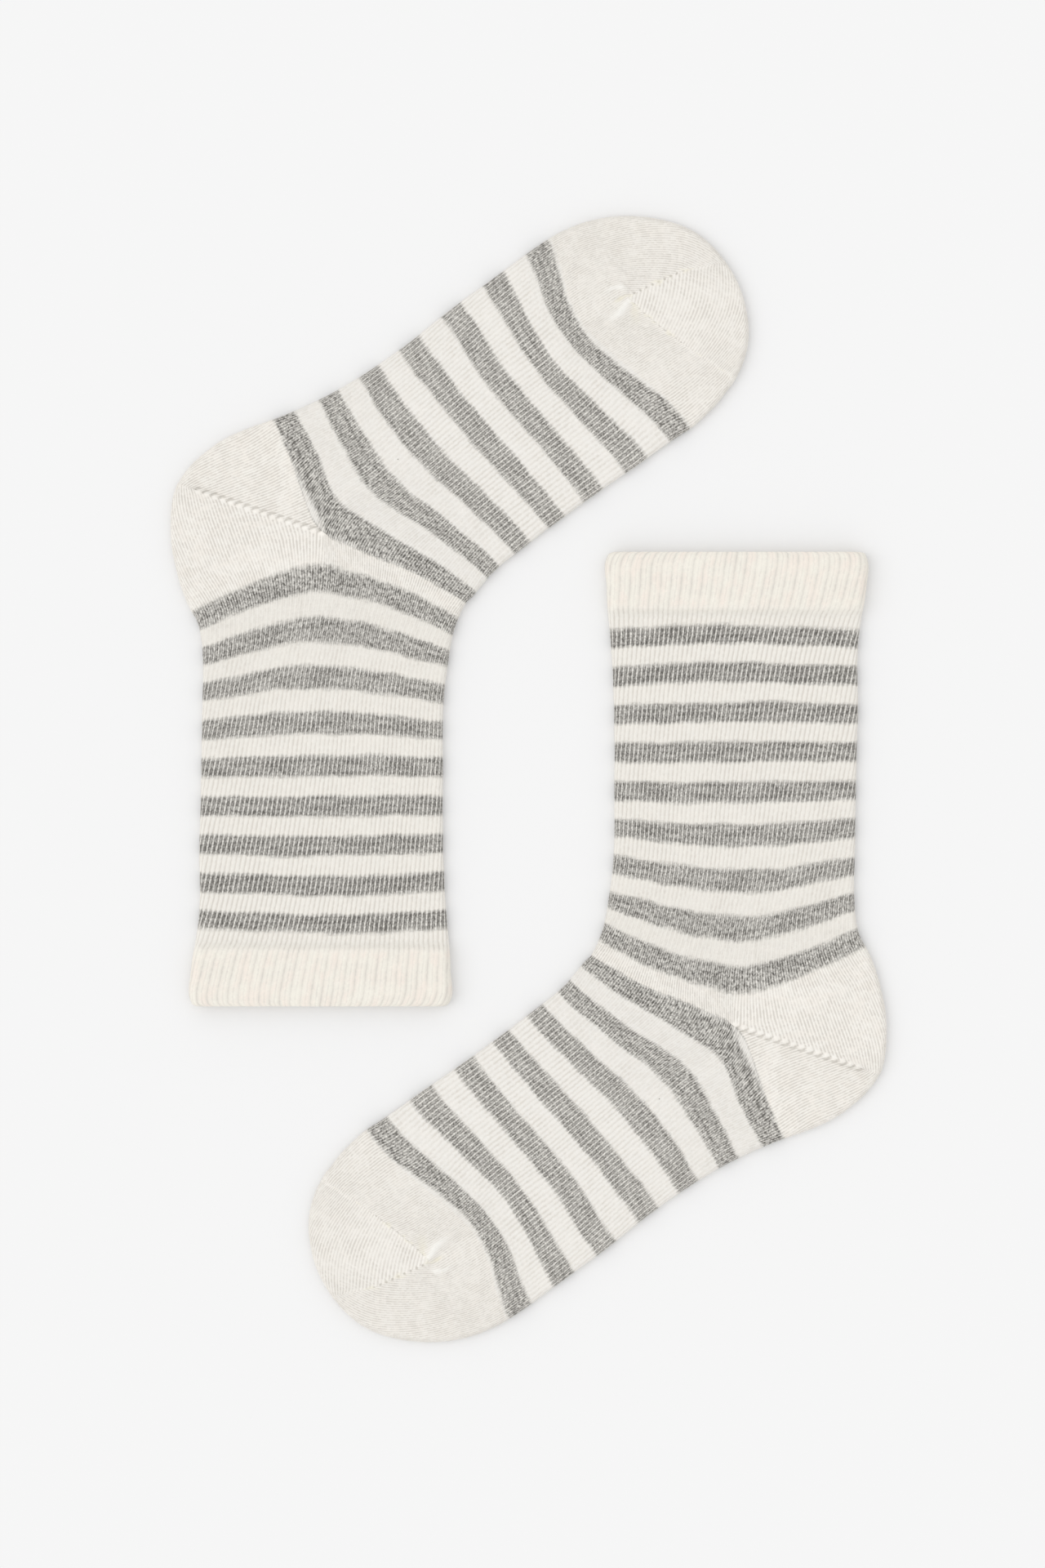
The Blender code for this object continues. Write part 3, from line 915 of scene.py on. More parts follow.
# %% Leg, foot and cuff
def plain_stretch(name, first, last, wales, every=12):
    """A stretch of tube, such as the leg. Its inner face only has every twelfth ring, or as every says."""
    work = Patchwork()
    rings = [tube_ring(course) for course in np.arange(first, last + 0.01, COURSE_STEP)]
    chosen = sorted(set(range(0, len(rings), every)) | {len(rings) - 1})
    outer = tube_outside(work, rings, *wales)
    inner = tube_inside(work, [rings[n] for n in chosen], lambda ring: wall_at(ring.course) - 2 * ring.lip)
    close_end(work, outer[0], inner[0], flip=True)
    close_end(work, outer[1], inner[1], flip=False)
    return work.mesh(name)


def check(mesh):
    """Prints a mesh's size, and how many of its edges don't have one face on each side."""
    faces = [tuple(p.vertices) for p in mesh.polygons]
    ways = {(face[n - 1], face[n]) for face in faces for n in range(len(face))}
    single = sum((b, a) not in ways for a, b in ways)
    twice = len(mesh.loops) - len(ways)
    triangles = sum(len(face) - 2 for face in faces)
    print(f"{mesh.name}: {triangles} triangles, {single} open edges, {twice} edges used twice one way")


leg_mesh = plain_stretch("leg", LEG_TOP, HEEL_TOP, (3, 71))
foot_mesh = plain_stretch("foot", FOOT_TOP, TOE_TOP, (9, 69))
cuff_mesh = plain_stretch("cuff", RIM, LEG_TOP, (2, 71), 4)
for mesh in (leg_mesh, foot_mesh, cuff_mesh):
    check(mesh)

# %% [markdown]
# ## The heel and the toe
# The heel is three pieces of knitting: nine full rounds, then the two wedges. The full rounds end on the
# pocket's first row behind and on the foot in front. The toe has twenty-two rounds and two wedges, and its
# last row lies on the instep's last course, where a seam joins them.

# %% Heel and toe


def pocket_wall(work, rings, pocket, wales, trim=slim):
    """Both faces of a pocket with the rings above it. Returns the two ends of each face."""
    outer = tube_outside(work, rings, *wales, trim)
    chosen = sorted({0, len(rings) // 2, len(rings) - 1})
    inner = tube_inside(work, [rings[n] for n in chosen], lambda ring: WALL)
    first, last = pocket.wale, pocket.wale + pocket.wales
    fine = np.arange(first, wales[1] + 0.01, STEP)
    columns = np.concatenate([fine, np.arange(wales[1] + COARSE, last + 0.01, COARSE)])
    faces = []
    for grid_columns, steps, row_step, inset, flip, ring in (
        (columns, (STEP, COARSE), COURSE_STEP, 0.0, False, outer[1]),
        (np.arange(first, last + 0.01, COARSE), (COARSE, COARSE), 4 * COURSE_STEP, WALL, True, inner[1]),
    ):
        rows = [work.grid(*pocket.grid(w, grid_columns, steps, row_step, inset), flip=flip) for w in (0, 1)]
        index, places = ring
        order = np.argsort(places[:-1] % WALES_ROUND)
        index, places = index[:-1][order], places[:-1][order] % WALES_ROUND
        behind = (places >= first - NEARLY) & (places <= last + NEARLY)
        work.zip(rows[0][0], index[behind], grid_columns, places[behind], flip=not flip)
        to_front, from_front = places >= last - NEARLY, places <= first + NEARLY
        ahead = np.concatenate([np.flatnonzero(to_front), np.flatnonzero(from_front)])
        ahead_wales = np.where(to_front[ahead], places[ahead] - WALES_ROUND, places[ahead])
        faces.append((rows[1][-1], grid_columns, index[ahead], ahead_wales))
    return outer, inner, faces


def heel_piece():
    work = Patchwork()
    outer, inner, faces = pocket_wall(work, heel_rings, heel, (3, 71), no_heel_stripe)
    close_end(work, outer[0], inner[0], flip=True)
    (back, wales, front, front_wales), (back_in, wales_in, front_in, front_wales_in) = faces
    work.zip(back, back_in, wales, wales_in)
    work.zip(front, front_in, front_wales, front_wales_in)
    return work.mesh("heel")


def shares_along(work, edge):
    """How far along an edge each of its points lies, from 0 to 1."""
    points = np.vstack(work.points)[edge, :3]
    far = np.concatenate([[0], np.cumsum(np.linalg.norm(np.diff(points, axis=0), axis=1))])
    return far / far[-1]


def toe_piece():
    work = Patchwork()
    outer, inner, faces = pocket_wall(work, toe_rings, toe, (9, 69))
    close_end(work, outer[0], inner[0], flip=True)
    for (back, _, front, _), flip in zip(faces, (False, True)):
        front = front[::-1]
        work.zip(back, front, shares_along(work, back), shares_along(work, front), flip)
    return work.mesh("toe")


heel_mesh, toe_mesh = heel_piece(), toe_piece()
for mesh in (heel_mesh, toe_mesh):
    check(mesh)

# %% [markdown]
# ## Sums in node trees
# Relief and colour are both sums on the wale and the course of a point. Wiring them by hand fills a page
# with boxes, so this small class lets a sum be written as a sum, and it makes the nodes.


# %% Numbers in a node tree
class Num:
    """A number in a geometry or shader tree."""

    def __init__(self, tree, socket):
        self.tree, self.socket = tree, socket

    def node(self, kind, inputs, output=0, **settings):
        """Any node, with some of its inputs given by name or number, as a new Num."""
        made = self.tree.nodes.new(kind)
        for key, value in settings.items():
            setattr(made, key, value)
        for key, value in inputs.items():
            if isinstance(value, Num):
                self.tree.links.new(value.socket, made.inputs[key])
            else:
                made.inputs[key].default_value = value
        return Num(self.tree, made.outputs[output])

    def math(self, operation, *others, first=None):
        values = [self if first is None else first, *others]
        return self.node("ShaderNodeMath", dict(enumerate(values)), operation=operation)

    def __add__(self, other):
        return self.math("ADD", other)

    def __sub__(self, other):
        return self.math("SUBTRACT", other)

    def __mul__(self, other):
        return self.math("MULTIPLY", other)

    def __radd__(self, other):
        return self.math("ADD", self, first=other)

    def __rsub__(self, other):
        return self.math("SUBTRACT", self, first=other)

    def __rmul__(self, other):
        return self.math("MULTIPLY", self, first=other)

    def fract(self):
        return self.math("FRACT")

    def floor(self):
        return self.math("FLOOR")

    def absolute(self):
        return self.math("ABSOLUTE")

    def cos(self):
        return self.math("COSINE")

    def ramp(self, low, high, start=0.0, end=1.0):
        """A smooth step from start, where this is low, to end, where it is high."""
        inputs = {"Value": self, "From Min": low, "From Max": high, "To Min": start, "To Max": end}
        return self.node("ShaderNodeMapRange", inputs, interpolation_type="SMOOTHSTEP")

    def mixed(self, a, b):
        """The colour a where this is 0 and b where it is 1."""
        inputs = {"Factor": self, 6: a, 7: b}
        return self.node("ShaderNodeMix", inputs, output=2, data_type="RGBA", clamp_factor=True)


def spot(x, y, z=0.0):
    """A place to read a noise at, made of up to three numbers."""
    given = next(n for n in (x, y, z) if isinstance(n, Num))
    return given.node("ShaderNodeCombineXYZ", {"X": x, "Y": y, "Z": z})


def noise(place, scale=1.0, detail=2.0, roughness=0.5):
    inputs = {"Vector": place, "Scale": scale, "Detail": detail, "Roughness": roughness}
    return place.node("ShaderNodeTexNoise", inputs)


print("a Num can", ", ".join(name for name in vars(Num) if not name.startswith("_")))

# %% [markdown]
# ## Stitch relief
# A wale stands up as a soft cord with a groove on each side, and its two yarn legs meet in the middle in a
# row of small Vs. A displaced image could draw that, but the mesh already has a column of points on each
# leg and in each groove, so Geometry Nodes only has to sink the right ones. The stitches sink and don't
# rise, so the knit stays within the solid and off the table. Only the hooks on the heel's gore stand up a
# little. The cuff's ribs take two wales each.

# %% Sizes of the relief
TURN = 2 * math.pi
RELIEF_MM = {  # the tree's sizes
    "Groove": 0.17,  # between wales
    "Legs": 0.16,  # along the two legs of a stitch, where they part
    "Course": 0.05,  # where one stitch goes into the next
    "Rib": 0.06,  # between ribs
    "Rib wale": 0.05,  # between the two wales of a rib
    "Hole": 0.30,  # along a gore
    "Hook rise": 0.16,  # how far the stitches that turn at the heel's gore stand up
    "Hills": 0.25,  # how uneven the cloth is as a whole
}
RELIEF_SEED = 1.0
print("relief in mm:", RELIEF_MM)


# %% Stitches that turn at a gore
# All in half stitches, from the middle of a stitch's place on the gore.
HOOK_BACK, HOOK_OUT = 0.25, 0.2  # where the middle of a hook lies: back along the gore, and beside it
HOOK_EDGE, HOOK_FULL = 0.9, 0.3  # how far from its middle a hook starts to rise, and where it is whole
SHADOW_AT = 0.85  # the radius of the ring of shadow round it
SHADOW_EDGE, SHADOW_FULL = 0.5, 0.1  # how far from that ring the shadow starts, and where it is whole
HOLE_EDGE, HOLE_FULL = 0.55, 0.15  # the same for a hole, from its middle


def turned_stitches(along, aside):
    """A row of hooks along a gore: the rise of each, the shadow round its outer side, and a hole instead."""
    across = along.fract() * 2 - 1
    middle_across, middle_aside = across + HOOK_BACK, aside - HOOK_OUT
    from_hook = (middle_across * middle_across + middle_aside * middle_aside).math("SQRT")
    from_hole = (across * across + aside * aside).math("SQRT")
    outer_side = (across * 0.6 - aside * 0.8).ramp(-0.1, 0.5)
    shadow = (from_hook - SHADOW_AT).absolute().ramp(SHADOW_EDGE, SHADOW_FULL) * outer_side
    return from_hook.ramp(HOOK_EDGE, HOOK_FULL), shadow, from_hole.ramp(HOLE_EDGE, HOLE_FULL)


# %% The relief tree
def new_tree(name, sockets):
    tree = bpy.data.node_groups.new(name, "GeometryNodeTree")
    tree.interface.new_socket("Geometry", in_out="INPUT", socket_type="NodeSocketGeometry")
    ids = {}
    for label, (kind, default) in sockets.items():
        socket = tree.interface.new_socket(label, in_out="INPUT", socket_type=kind)
        if default is not None:
            socket.default_value = default
        ids[label] = socket.identifier
    tree.interface.new_socket("Geometry", in_out="OUTPUT", socket_type="NodeSocketGeometry")
    tree.is_modifier = True
    return tree, ids


def relief_tree():
    """Sinks each point by its place in its stitch.

    Its input Ribs is 1 on the ribbed cuff, and Hooks is 1 on the heel, whose gore is a row of hooks."""
    sockets = {label: ("NodeSocketFloat", size) for label, size in RELIEF_MM.items()}
    sockets["Ribs"] = sockets["Hooks"] = ("NodeSocketFloat", 0.0)
    sockets["Seed"] = ("NodeSocketFloat", RELIEF_SEED)
    sockets["Material"] = ("NodeSocketMaterial", None)
    tree, ids = new_tree("stitch_relief", sockets)
    start, end = tree.nodes.new("NodeGroupInput"), tree.nodes.new("NodeGroupOutput")
    given = {label: Num(tree, start.outputs[label]) for label in sockets}
    whole = Num(tree, start.outputs["Geometry"])

    def label(name):
        return whole.node("GeometryNodeInputNamedAttribute", {"Name": name}, data_type="FLOAT")

    wale, course, relief, split = (label(name) for name in LABELS[:4])
    across = (wale.fract() * 2 - 1).absolute()
    groove = across.ramp(0.1, 1.0) * given["Groove"]
    legs = (across * 2 - 1).absolute().ramp(1.0, 0.0) * given["Legs"]
    stitches = (1 - ((course - across) * TURN).cos()) * (given["Course"] * 0.5)
    uneven = noise(spot(wale * 0.9, course * 0.35, given["Seed"]), 1.0, 2.0).ramp(0.25, 0.75, 0.6, 1.35)
    plain = (groove + (legs - groove) * split) * uneven + stitches
    rib = (1 - (wale * (TURN / 2)).cos()) * (given["Rib"] * 0.5) + across.ramp(0.3, 1.0) * given["Rib wale"]
    ribbed = rib * uneven + stitches * 0.5
    ribs = given["Ribs"] * course.ramp(LEG_TOP, LEG_TOP - SET_DOWN)
    sunk = (plain + (ribbed - plain) * ribs) * label("clear").ramp(0.1, 0.9, 0.15, 1.0)
    rise, shadow, hole = turned_stitches(label("stitches_along"), label("aside"))
    turned = shadow * given["Hole"] - rise * given["Hook rise"]
    hole = hole * given["Hole"]
    sunk = sunk + hole + (turned - hole) * given["Hooks"]
    hills = noise(spot(wale * 0.05, course * 0.03, given["Seed"]), 1.0, 2.0)
    hills = hills.ramp(0.2, 0.8, 0.0, given["Hills"])
    depth = (sunk + hills) * relief.math("MAXIMUM", 0.0) * MM
    out = whole.node("GeometryNodeInputNamedAttribute", {"Name": "out"}, data_type="FLOAT_VECTOR")
    push = out.node("ShaderNodeVectorMath", {0: out, "Scale": depth * -1}, operation="SCALE")
    moved = whole.node("GeometryNodeSetPosition", {"Geometry": whole, "Offset": push})
    real = moved.node("GeometryNodeRealizeInstances", {"Geometry": moved})
    dressed = real.node("GeometryNodeSetMaterial", {"Geometry": real, "Material": given["Material"]})
    tree.links.new(dressed.socket, end.inputs["Geometry"])
    return tree, ids


relief_nodes, relief_ids = relief_tree()
print("relief tree:", len(relief_nodes.nodes), "nodes")

# %% [markdown]
# ## Knit materials
# Knit is thousands of soft fibres, so it has no shine and a faint velvet edge. The stripes are yarn, and a
# course of yarn is either grey or cream, so the colour is worked out for each course of each wale, and the
# edge of a stripe goes up and down with the stitches. The grey is spun from dark and pale fibres, which
# gives long uneven flecks. An image could hold all of that for one view, but a formula holds it for every
# view.

# %% Yarns and finishes
HEEL_YARN, TOE_YARN = (0.925, 0.898, 0.844, 1.0), (0.90, 0.872, 0.82, 1.0)
LEG_YARN, FOOT_YARN = (0.845, 0.82, 0.765, 1.0), (0.86, 0.84, 0.80, 1.0)
CUFF_YARN, CUFF_PINK = (0.885, 0.855, 0.77, 1.0), (0.90, 0.82, 0.74, 1.0)
# painted shade: the colour mixed into the knit's hollows, in the grooves between wales, where a stitch's legs part and
# between ribs
PAINTED_GROOVE_SHADE = (0.69, 0.655, 0.60, 1.0)
PINK_SHADE = (0.90, 0.84, 0.765, 1.0)
# the seam's yellowish yarn along the toe's gores, and painted shade in the crease's troughs
SEAM_YELLOW_AND_TROUGH_SHADE = (0.84, 0.80, 0.66, 1.0)
PAINTED_GORE_SHADOW, GORE_SHADOW_STRENGTH = (0.56, 0.53, 0.48, 1.0), 0.7  # the colour painted as shadow round the heel's hooks and as shade in the toe's holes, and how much of it
PAINTED_RIDGE_LIGHT = (0.95, 0.935, 0.89, 1.0)  # painted highlight on the crease's ridges, lighter than the yarn, where stitches pulled tight show no grooves
GREY_DARK = (0.125, 0.118, 0.107, 1.0)
GREY_LIGHT = (0.81, 0.785, 0.735, 1.0)
LEG_LINES = 1.35  # how strong the painted shade in the grooves between wales is on the leg
RIBS_FADE = 6  # courses over which the cuff's colours become the leg's
ZIGZAG = 0.45  # courses by which a yarn goes up and down in each wale
COLOUR_SEED = 2.0
MATT = {"Roughness": 0.92, "Specular IOR Level": 0.15, "Sheen Weight": 0.12, "Sheen Roughness": 0.5}
FIBRE_MM, FIBRE_STRENGTH = 0.12, 0.6  # the bumps that single fibres make


@dataclass
class Finish:
    """The knit of one stretch of the sock."""

    yarn: tuple
    tint: tuple = PINK_SHADE  # the colour of its soft patches
    pink: float = 0.0  # how strong the patches are
    patch: tuple = (2.9, 4.0)  # how many wales wide and courses long one is
    lines: float = 1.0  # how strong the painted shade in the grooves between wales is
    legs: float = 0.7  # and the painted shade in the middle of each stitch, where its two legs part
    ribs: float = 0.0  # and the painted shade between ribs
    hooks: bool = False  # whether the gore is a row of hooks, lit on their rise with painted shadow round them, rather than holes with painted shade in them
    yellow: float = 0.0  # how yellow the dashes along the gore are, and whether a crease gets its painted highlight and shade
    fleck: tuple = ()  # the wale and the course of one dark fibre


FINISHES = {
    "cuff": Finish(CUFF_YARN, tint=CUFF_PINK, pink=1.0, lines=0.5, patch=(2.2, 9.0), ribs=0.3),
    "leg": Finish(LEG_YARN, pink=0.15, lines=LEG_LINES, legs=0.35),
    "heel": Finish(HEEL_YARN, pink=0.4, lines=1.15, hooks=True),
    "foot": Finish(FOOT_YARN, pink=0.15, lines=1.15, legs=0.4, fleck=(44.2, 187.5)),
    "toe": Finish(TOE_YARN, pink=0.2, yellow=0.5),
}
print("finishes:", ", ".join(FINISHES))


# %% A place on the knit, as a shader sees it
class Stitch:
    """The wale, the course and the labels of a point, and where it lies in its stitch."""

    def __init__(self, tree):
        uv = Num(tree, None).node("ShaderNodeUVMap", {}, uv_map="stitches")
        self.wale = uv.node("ShaderNodeSeparateXYZ", {0: uv})
        self.course = Num(tree, self.wale.socket.node.outputs["Y"])
        self.split, self.dye, self.edge, along, self.aside = (self.label(name) for name in LABELS[3:8])
        self.hook, self.hook_shadow, self.hole = turned_stitches(along, self.aside)
        self.across = (self.wale.fract() * 2 - 1).absolute()  # 0 in the middle of a wale, 1 in the groove
        self.beside = (self.across * 2 - 1).absolute()  # 0 on each leg of the stitch
        self.yarn = self.course - self.across * ZIGZAG  # the course, following its yarn up and down

    def label(self, name):
        return self.wale.node("ShaderNodeAttribute", {}, output=2, attribute_name=name)

    def grain(self, x, y, seed, detail=2.0, roughness=0.5, scale=1.0):
        return noise(spot(x, y, COLOUR_SEED + seed), scale, detail, roughness)


# %% Cream knit
def to_leg(stitch):
    """0 on the ribs of the cuff, going to 1 where the leg starts."""
    return stitch.course.ramp(LEG_TOP - RIBS_FADE, LEG_TOP)


def painted_shade_and_tone(stitch, finish):
    """How dark the cream knit is painted: painted shade in its grooves, where a stitch's legs part and between ribs,
    and a tone that differs a little from stitch to stitch.
    """
    faded = stitch.grain(stitch.wale * 0.2, stitch.course * 0.12, 13).ramp(0.3, 0.7, 0.65, 1.35)
    each = stitch.grain((stitch.wale * 2).floor() * 3.7, stitch.yarn.floor() * 5.3, 4, 0.0)
    fine = stitch.grain(stitch.wale * 2.2, stitch.yarn * 3.0, 3, 3.0, 0.6)
    # painted shade in the grooves between wales, and, as split goes to 1, in the gap where a stitch's two legs part
    shade = stitch.across.ramp(0.4, 1.0) * 0.75
    shade = shade + (stitch.beside.ramp(0.9, 0.0) * finish.legs - shade) * stitch.split
    # painted highlight on a hook's rise: the painted groove shade is taken away where the turned stitch stands up
    if finish.hooks:
        shade = shade * (1 - stitch.hook)
    shade = shade * faded * each.ramp(0.3, 0.7, 0.7, 1.25)
    if finish.ribs:
        down = to_leg(stitch)
        # painted shade between the cuff's ribs, fading out towards the leg
        between_ribs = (1 - (stitch.wale * (TURN / 2)).cos()) * faded * (finish.ribs / 2)
        shade = shade * (down * (LEG_LINES - finish.lines) + finish.lines) + between_ribs * (1 - down)
    else:
        shade = shade * finish.lines
    return shade + fine.ramp(0.35, 0.75) * 0.2 + each.ramp(0.35, 0.65) * 0.1


def cream_knit(stitch, finish):
    """The colour between stripes: yarn with soft patches, painted shade in its grooves, painted shadow or shade at a
    gore, a seam's yellow dashes, and painted highlight and shade on a crease.
    """
    patches = stitch.grain(stitch.wale * (1 / finish.patch[0]), stitch.course * (1 / finish.patch[1]), 0, 3.0)
    patches = patches.ramp(0.38, 0.68) * finish.pink
    if finish.ribs:
        down = to_leg(stitch)
        colour = down.mixed((patches * (1 - down)).mixed(finish.yarn, finish.tint), LEG_YARN)
    else:
        colour = patches.mixed(finish.yarn, finish.tint)
    # painted shade in the hollows of the knit, over the yarn's colour
    colour = painted_shade_and_tone(stitch, finish).mixed(colour, PAINTED_GROOVE_SHADE)
    # painted shadow round the outer side of each hook on the heel's gore, and painted shade in each hole along the
    # toe's gores
    colour = ((stitch.hook_shadow if finish.hooks else stitch.hole) * GORE_SHADOW_STRENGTH).mixed(colour, PAINTED_GORE_SHADOW)
    if finish.yellow:
        dashes = noise(spot(stitch.wale * 0.5, COLOUR_SEED), 1.0, 1.0).ramp(0.5, 0.62)
        dashes = dashes * stitch.aside.absolute().ramp(1.4, 0.5)
        fold = stitch.label("fold")
        colour = (dashes * finish.yellow).mixed(colour, SEAM_YELLOW_AND_TROUGH_SHADE)
        # painted highlight on the crease's ridges, and painted shade in its troughs
        colour = (fold.ramp(0.0, 0.9) * 0.95).mixed(colour, PAINTED_RIDGE_LIGHT)
        colour = (fold.ramp(0.0, -0.6) * 0.7).mixed(colour, SEAM_YELLOW_AND_TROUGH_SHADE)
    return colour


# %% Grey stripes
def in_stripe(stitch):
    """1 inside a grey stripe and 0 outside, with an edge that goes up and down with the stitches."""
    ragged = stitch.grain(stitch.wale.floor() * 7.3, stitch.course * 0.9, 5).ramp(0.2, 0.8, -0.35, 0.35)
    wander = stitch.grain(stitch.wale * 0.12, stitch.course * 0.05, 9, 1.0).ramp(0.2, 0.8, -0.5, 0.5)
    inside = stitch.dye + stitch.edge * (wander - (stitch.across - 0.5) * ZIGZAG) + ragged
    return inside.ramp(-1.0, 1.0)


def melange_grey(stitch):
    """Dark and pale fibres spun together: patches, long fibres and short ones, and a pale line on a wale."""
    patches = stitch.grain(stitch.wale * 0.14, stitch.yarn * 0.5, 6)
    fibres = stitch.grain(stitch.wale * 3.2, stitch.yarn * 0.8, 1, roughness=0.6)
    flecks = stitch.grain(stitch.wale * 3.4, stitch.yarn * 2.2, 2, roughness=0.6)
    clumps = stitch.grain(stitch.wale * 1.4, stitch.yarn * 0.9, 7, 1.0)
    line = stitch.across.ramp(0.5, 0.1)
    line = line + (stitch.beside.ramp(0.45, 0.95) * 0.8 - line) * stitch.split
    dots = ((stitch.course - stitch.across) * TURN).cos() * 0.5 + 0.5
    light = patches.ramp(0.3, 0.7) * 0.2 + fibres.ramp(0.32, 0.68) * 0.4 + flecks.ramp(0.35, 0.65) * 0.2
    light = light + line * (dots * 0.3 + 0.45) + clumps.ramp(0.3, 0.7, -0.26, 0.26) * stitch.split
    light = light + stitch.course.ramp(25.0, 175.0, -0.23, -0.13)
    return light.mixed(GREY_DARK, GREY_LIGHT)


def dark_fibre(stitch, wale, course):
    """1 on one dark fibre, which is a fifth of a wale wide and a little longer."""
    x, y = (stitch.wale - wale) * 6.0, (stitch.course - course) * 4.6
    return (x * x + y * y).math("SQRT").ramp(1.1, 0.5) * 0.8


# %% Knit materials
def knit_material(name, finish):
    material = bpy.data.materials.new(name)
    material.use_nodes = True
    tree = material.node_tree
    inputs = tree.nodes["Principled BSDF"].inputs
    stitch = Stitch(tree)
    colour = in_stripe(stitch).mixed(cream_knit(stitch, finish), melange_grey(stitch))
    if finish.fleck:
        colour = dark_fibre(stitch, *finish.fleck).mixed(colour, GREY_DARK)
    fibre = stitch.grain(stitch.wale * 3.0, stitch.yarn * 5.0, 11, 3.0, 0.6, 1.5)
    bumps = {"Height": fibre, "Distance": FIBRE_MM * MM, "Strength": FIBRE_STRENGTH}
    bump = fibre.node("ShaderNodeBump", bumps)
    tree.links.new(colour.socket, inputs["Base Color"])
    tree.links.new(bump.socket, inputs["Normal"])
    for socket, value in MATT.items():
        inputs[socket].default_value = value
    print(name, "has", len(tree.nodes), "nodes")
    return material


NAMES = {
    "cuff": "ribbed_cuff_knit",
    "leg": "striped_leg_knit",
    "heel": "plain_heel_knit",
    "foot": "striped_foot_knit",
    "toe": "plain_toe_knit",
}
MATERIALS = {part: knit_material(NAMES[part], finish) for part, finish in FINISHES.items()}

# %% [markdown]
# ## Two socks from one
# Both socks are the same knitting, and the second lies turned half round beside the first, with its own
# copy of each mesh. Each piece is held by the packed node it stands for, and is told to be cloth of a given
# cut: its width all the way round and its length along the wales.

# %% Pieces
SLOTS = {
    "cuff": "cream_rib",
    "leg": "striped_knit",
    "heel": "cream_knit",
    "foot": "striped_knit",
    "toe": "cream_knit",
}
CUT_MM = {"cuff": (141, 18), "leg": (134, 99), "heel": (150, 30), "foot": (118, 92), "toe": (96, 40)}
MESHES = {"cuff": cuff_mesh, "leg": leg_mesh, "heel": heel_mesh, "foot": foot_mesh, "toe": toe_mesh}


def knitted(mesh, part):
    """The mesh with its stitches sunk in and its material on."""
    obj = bpy.data.objects.new("draft_" + part, mesh)
    bpy.context.scene.collection.objects.link(obj)
    modifier = obj.modifiers.new("relief", "NODES")
    modifier.node_group = relief_nodes
    inputs = dict(RELIEF_MM, Seed=RELIEF_SEED, Material=MATERIALS[part])
    inputs["Ribs"] = 1.0 if part == "cuff" else 0.0
    inputs["Hooks"] = 1.0 if part == "heel" else 0.0
    for label, value in inputs.items():
        modifier[relief_ids[label]] = value
    bpy.context.view_layer.update()
    graph = bpy.context.evaluated_depsgraph_get()
    made = bpy.data.meshes.new_from_object(obj.evaluated_get(graph), depsgraph=graph)
    bpy.data.objects.remove(obj)
    return made


finished = {part: knitted(mesh, part) for part, mesh in MESHES.items()}
print("knitted:", ", ".join(f"{part} {len(mesh.vertices)} points" for part, mesh in finished.items()))

# %% [markdown]
# ## One shading over five meshes
# The knit goes on from the leg to the heel without a break, but each stretch is a mesh of its own here, and
# Blender works out the shading of each alone, which draws a faint line where two of them meet. Joining them
# would lose the pieces. So the corners that lie in one place share one normal, whichever mesh they are on.


# %% Normals shared across pieces
SQUARE_MM = 1e6  # in a square metre


def read(items, name, kind, width=1):
    values = np.empty(len(items) * width, kind)
    items.foreach_get(name, values)
    return values.reshape(-1, width) if width > 1 else values


class Faces:
    """The faces of a mesh as arrays: each corner's point, each corner's face, and which faces are outside."""

    def __init__(self, mesh):
        self.mesh = mesh
        self.points = read(mesh.vertices, "co", np.float32, 3).astype(float)
        self.corners = read(mesh.loops, "vertex_index", np.int32)
        sizes = read(mesh.polygons, "loop_total", np.int32)
        self.face = np.repeat(np.arange(len(sizes)), sizes)
        normals = read(mesh.polygons, "normal", np.float32, 3)
        areas = read(mesh.polygons, "area", np.float32)
        self.normals, self.weights = normals, normals * areas[:, None] * SQUARE_MM
        inside = read(mesh.attributes["relief"].data, "value", np.float32) < -0.5
        self.outside = np.bincount(self.face, inside[self.corners]) == 0

    def keys(self):
        return np.round(self.points * (KEY_PER_MM / MM)).astype(np.int64)


def shade_across_pieces(meshes):
    """Gives corners on the outside one normal wherever pieces meet, so that no line shows between them."""
    pieces = [Faces(mesh) for mesh in meshes]
    _, place = np.unique(np.vstack([piece.keys() for piece in pieces]), axis=0, return_inverse=True)
    place = np.split(place.reshape(-1), np.cumsum([len(piece.points) for piece in pieces])[:-1])
    total = np.zeros((max(p.max() for p in place) + 1, 3))
    for piece, spots in zip(pieces, place):
        corners = piece.outside[piece.face]
        np.add.at(total, spots[piece.corners[corners]], piece.weights[piece.face[corners]])
    total /= np.maximum(np.linalg.norm(total, axis=1, keepdims=True), 1e-12)
    for piece, spots in zip(pieces, place):
        outside = piece.outside[piece.face][:, None]
        normals = np.where(outside, total[spots[piece.corners]], piece.normals[piece.face])
        piece.mesh.normals_split_custom_set(normals.tolist())


shade_across_pieces(finished.values())

# %% Both socks
for part, done in finished.items():
    for sock in ("sock_a", "sock_b"):
        data = done.copy()
        if sock == "sock_b":
            data.transform(Matrix.Rotation(math.pi, 4, "Z"))
        name = f"{sock}_{part}"
        data.name = name
        obj = bpy.data.objects.new(name + "_knit", data)
        bpy.context.scene.collection.objects.link(obj)
        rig.ride(obj, "root")
        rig.replaces(obj, name)
        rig.slot(obj, SLOTS[part])
        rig.sheet(obj, flat=tuple(size * MM for size in CUT_MM[part]), held="laid")
    print(part, "done:", len(done.polygons), "faces")

# %% [markdown]
# ## Table, light and camera
# The socks lie on a white surface and are seen from straight above, in soft light with a weak shadow to the
# right. A studio would use two soft boxes. Here one wide lamp on the left gives the shadow its side, and an
# even sky fills the rest, which leaves less noise in the picture than lamps with edges would.

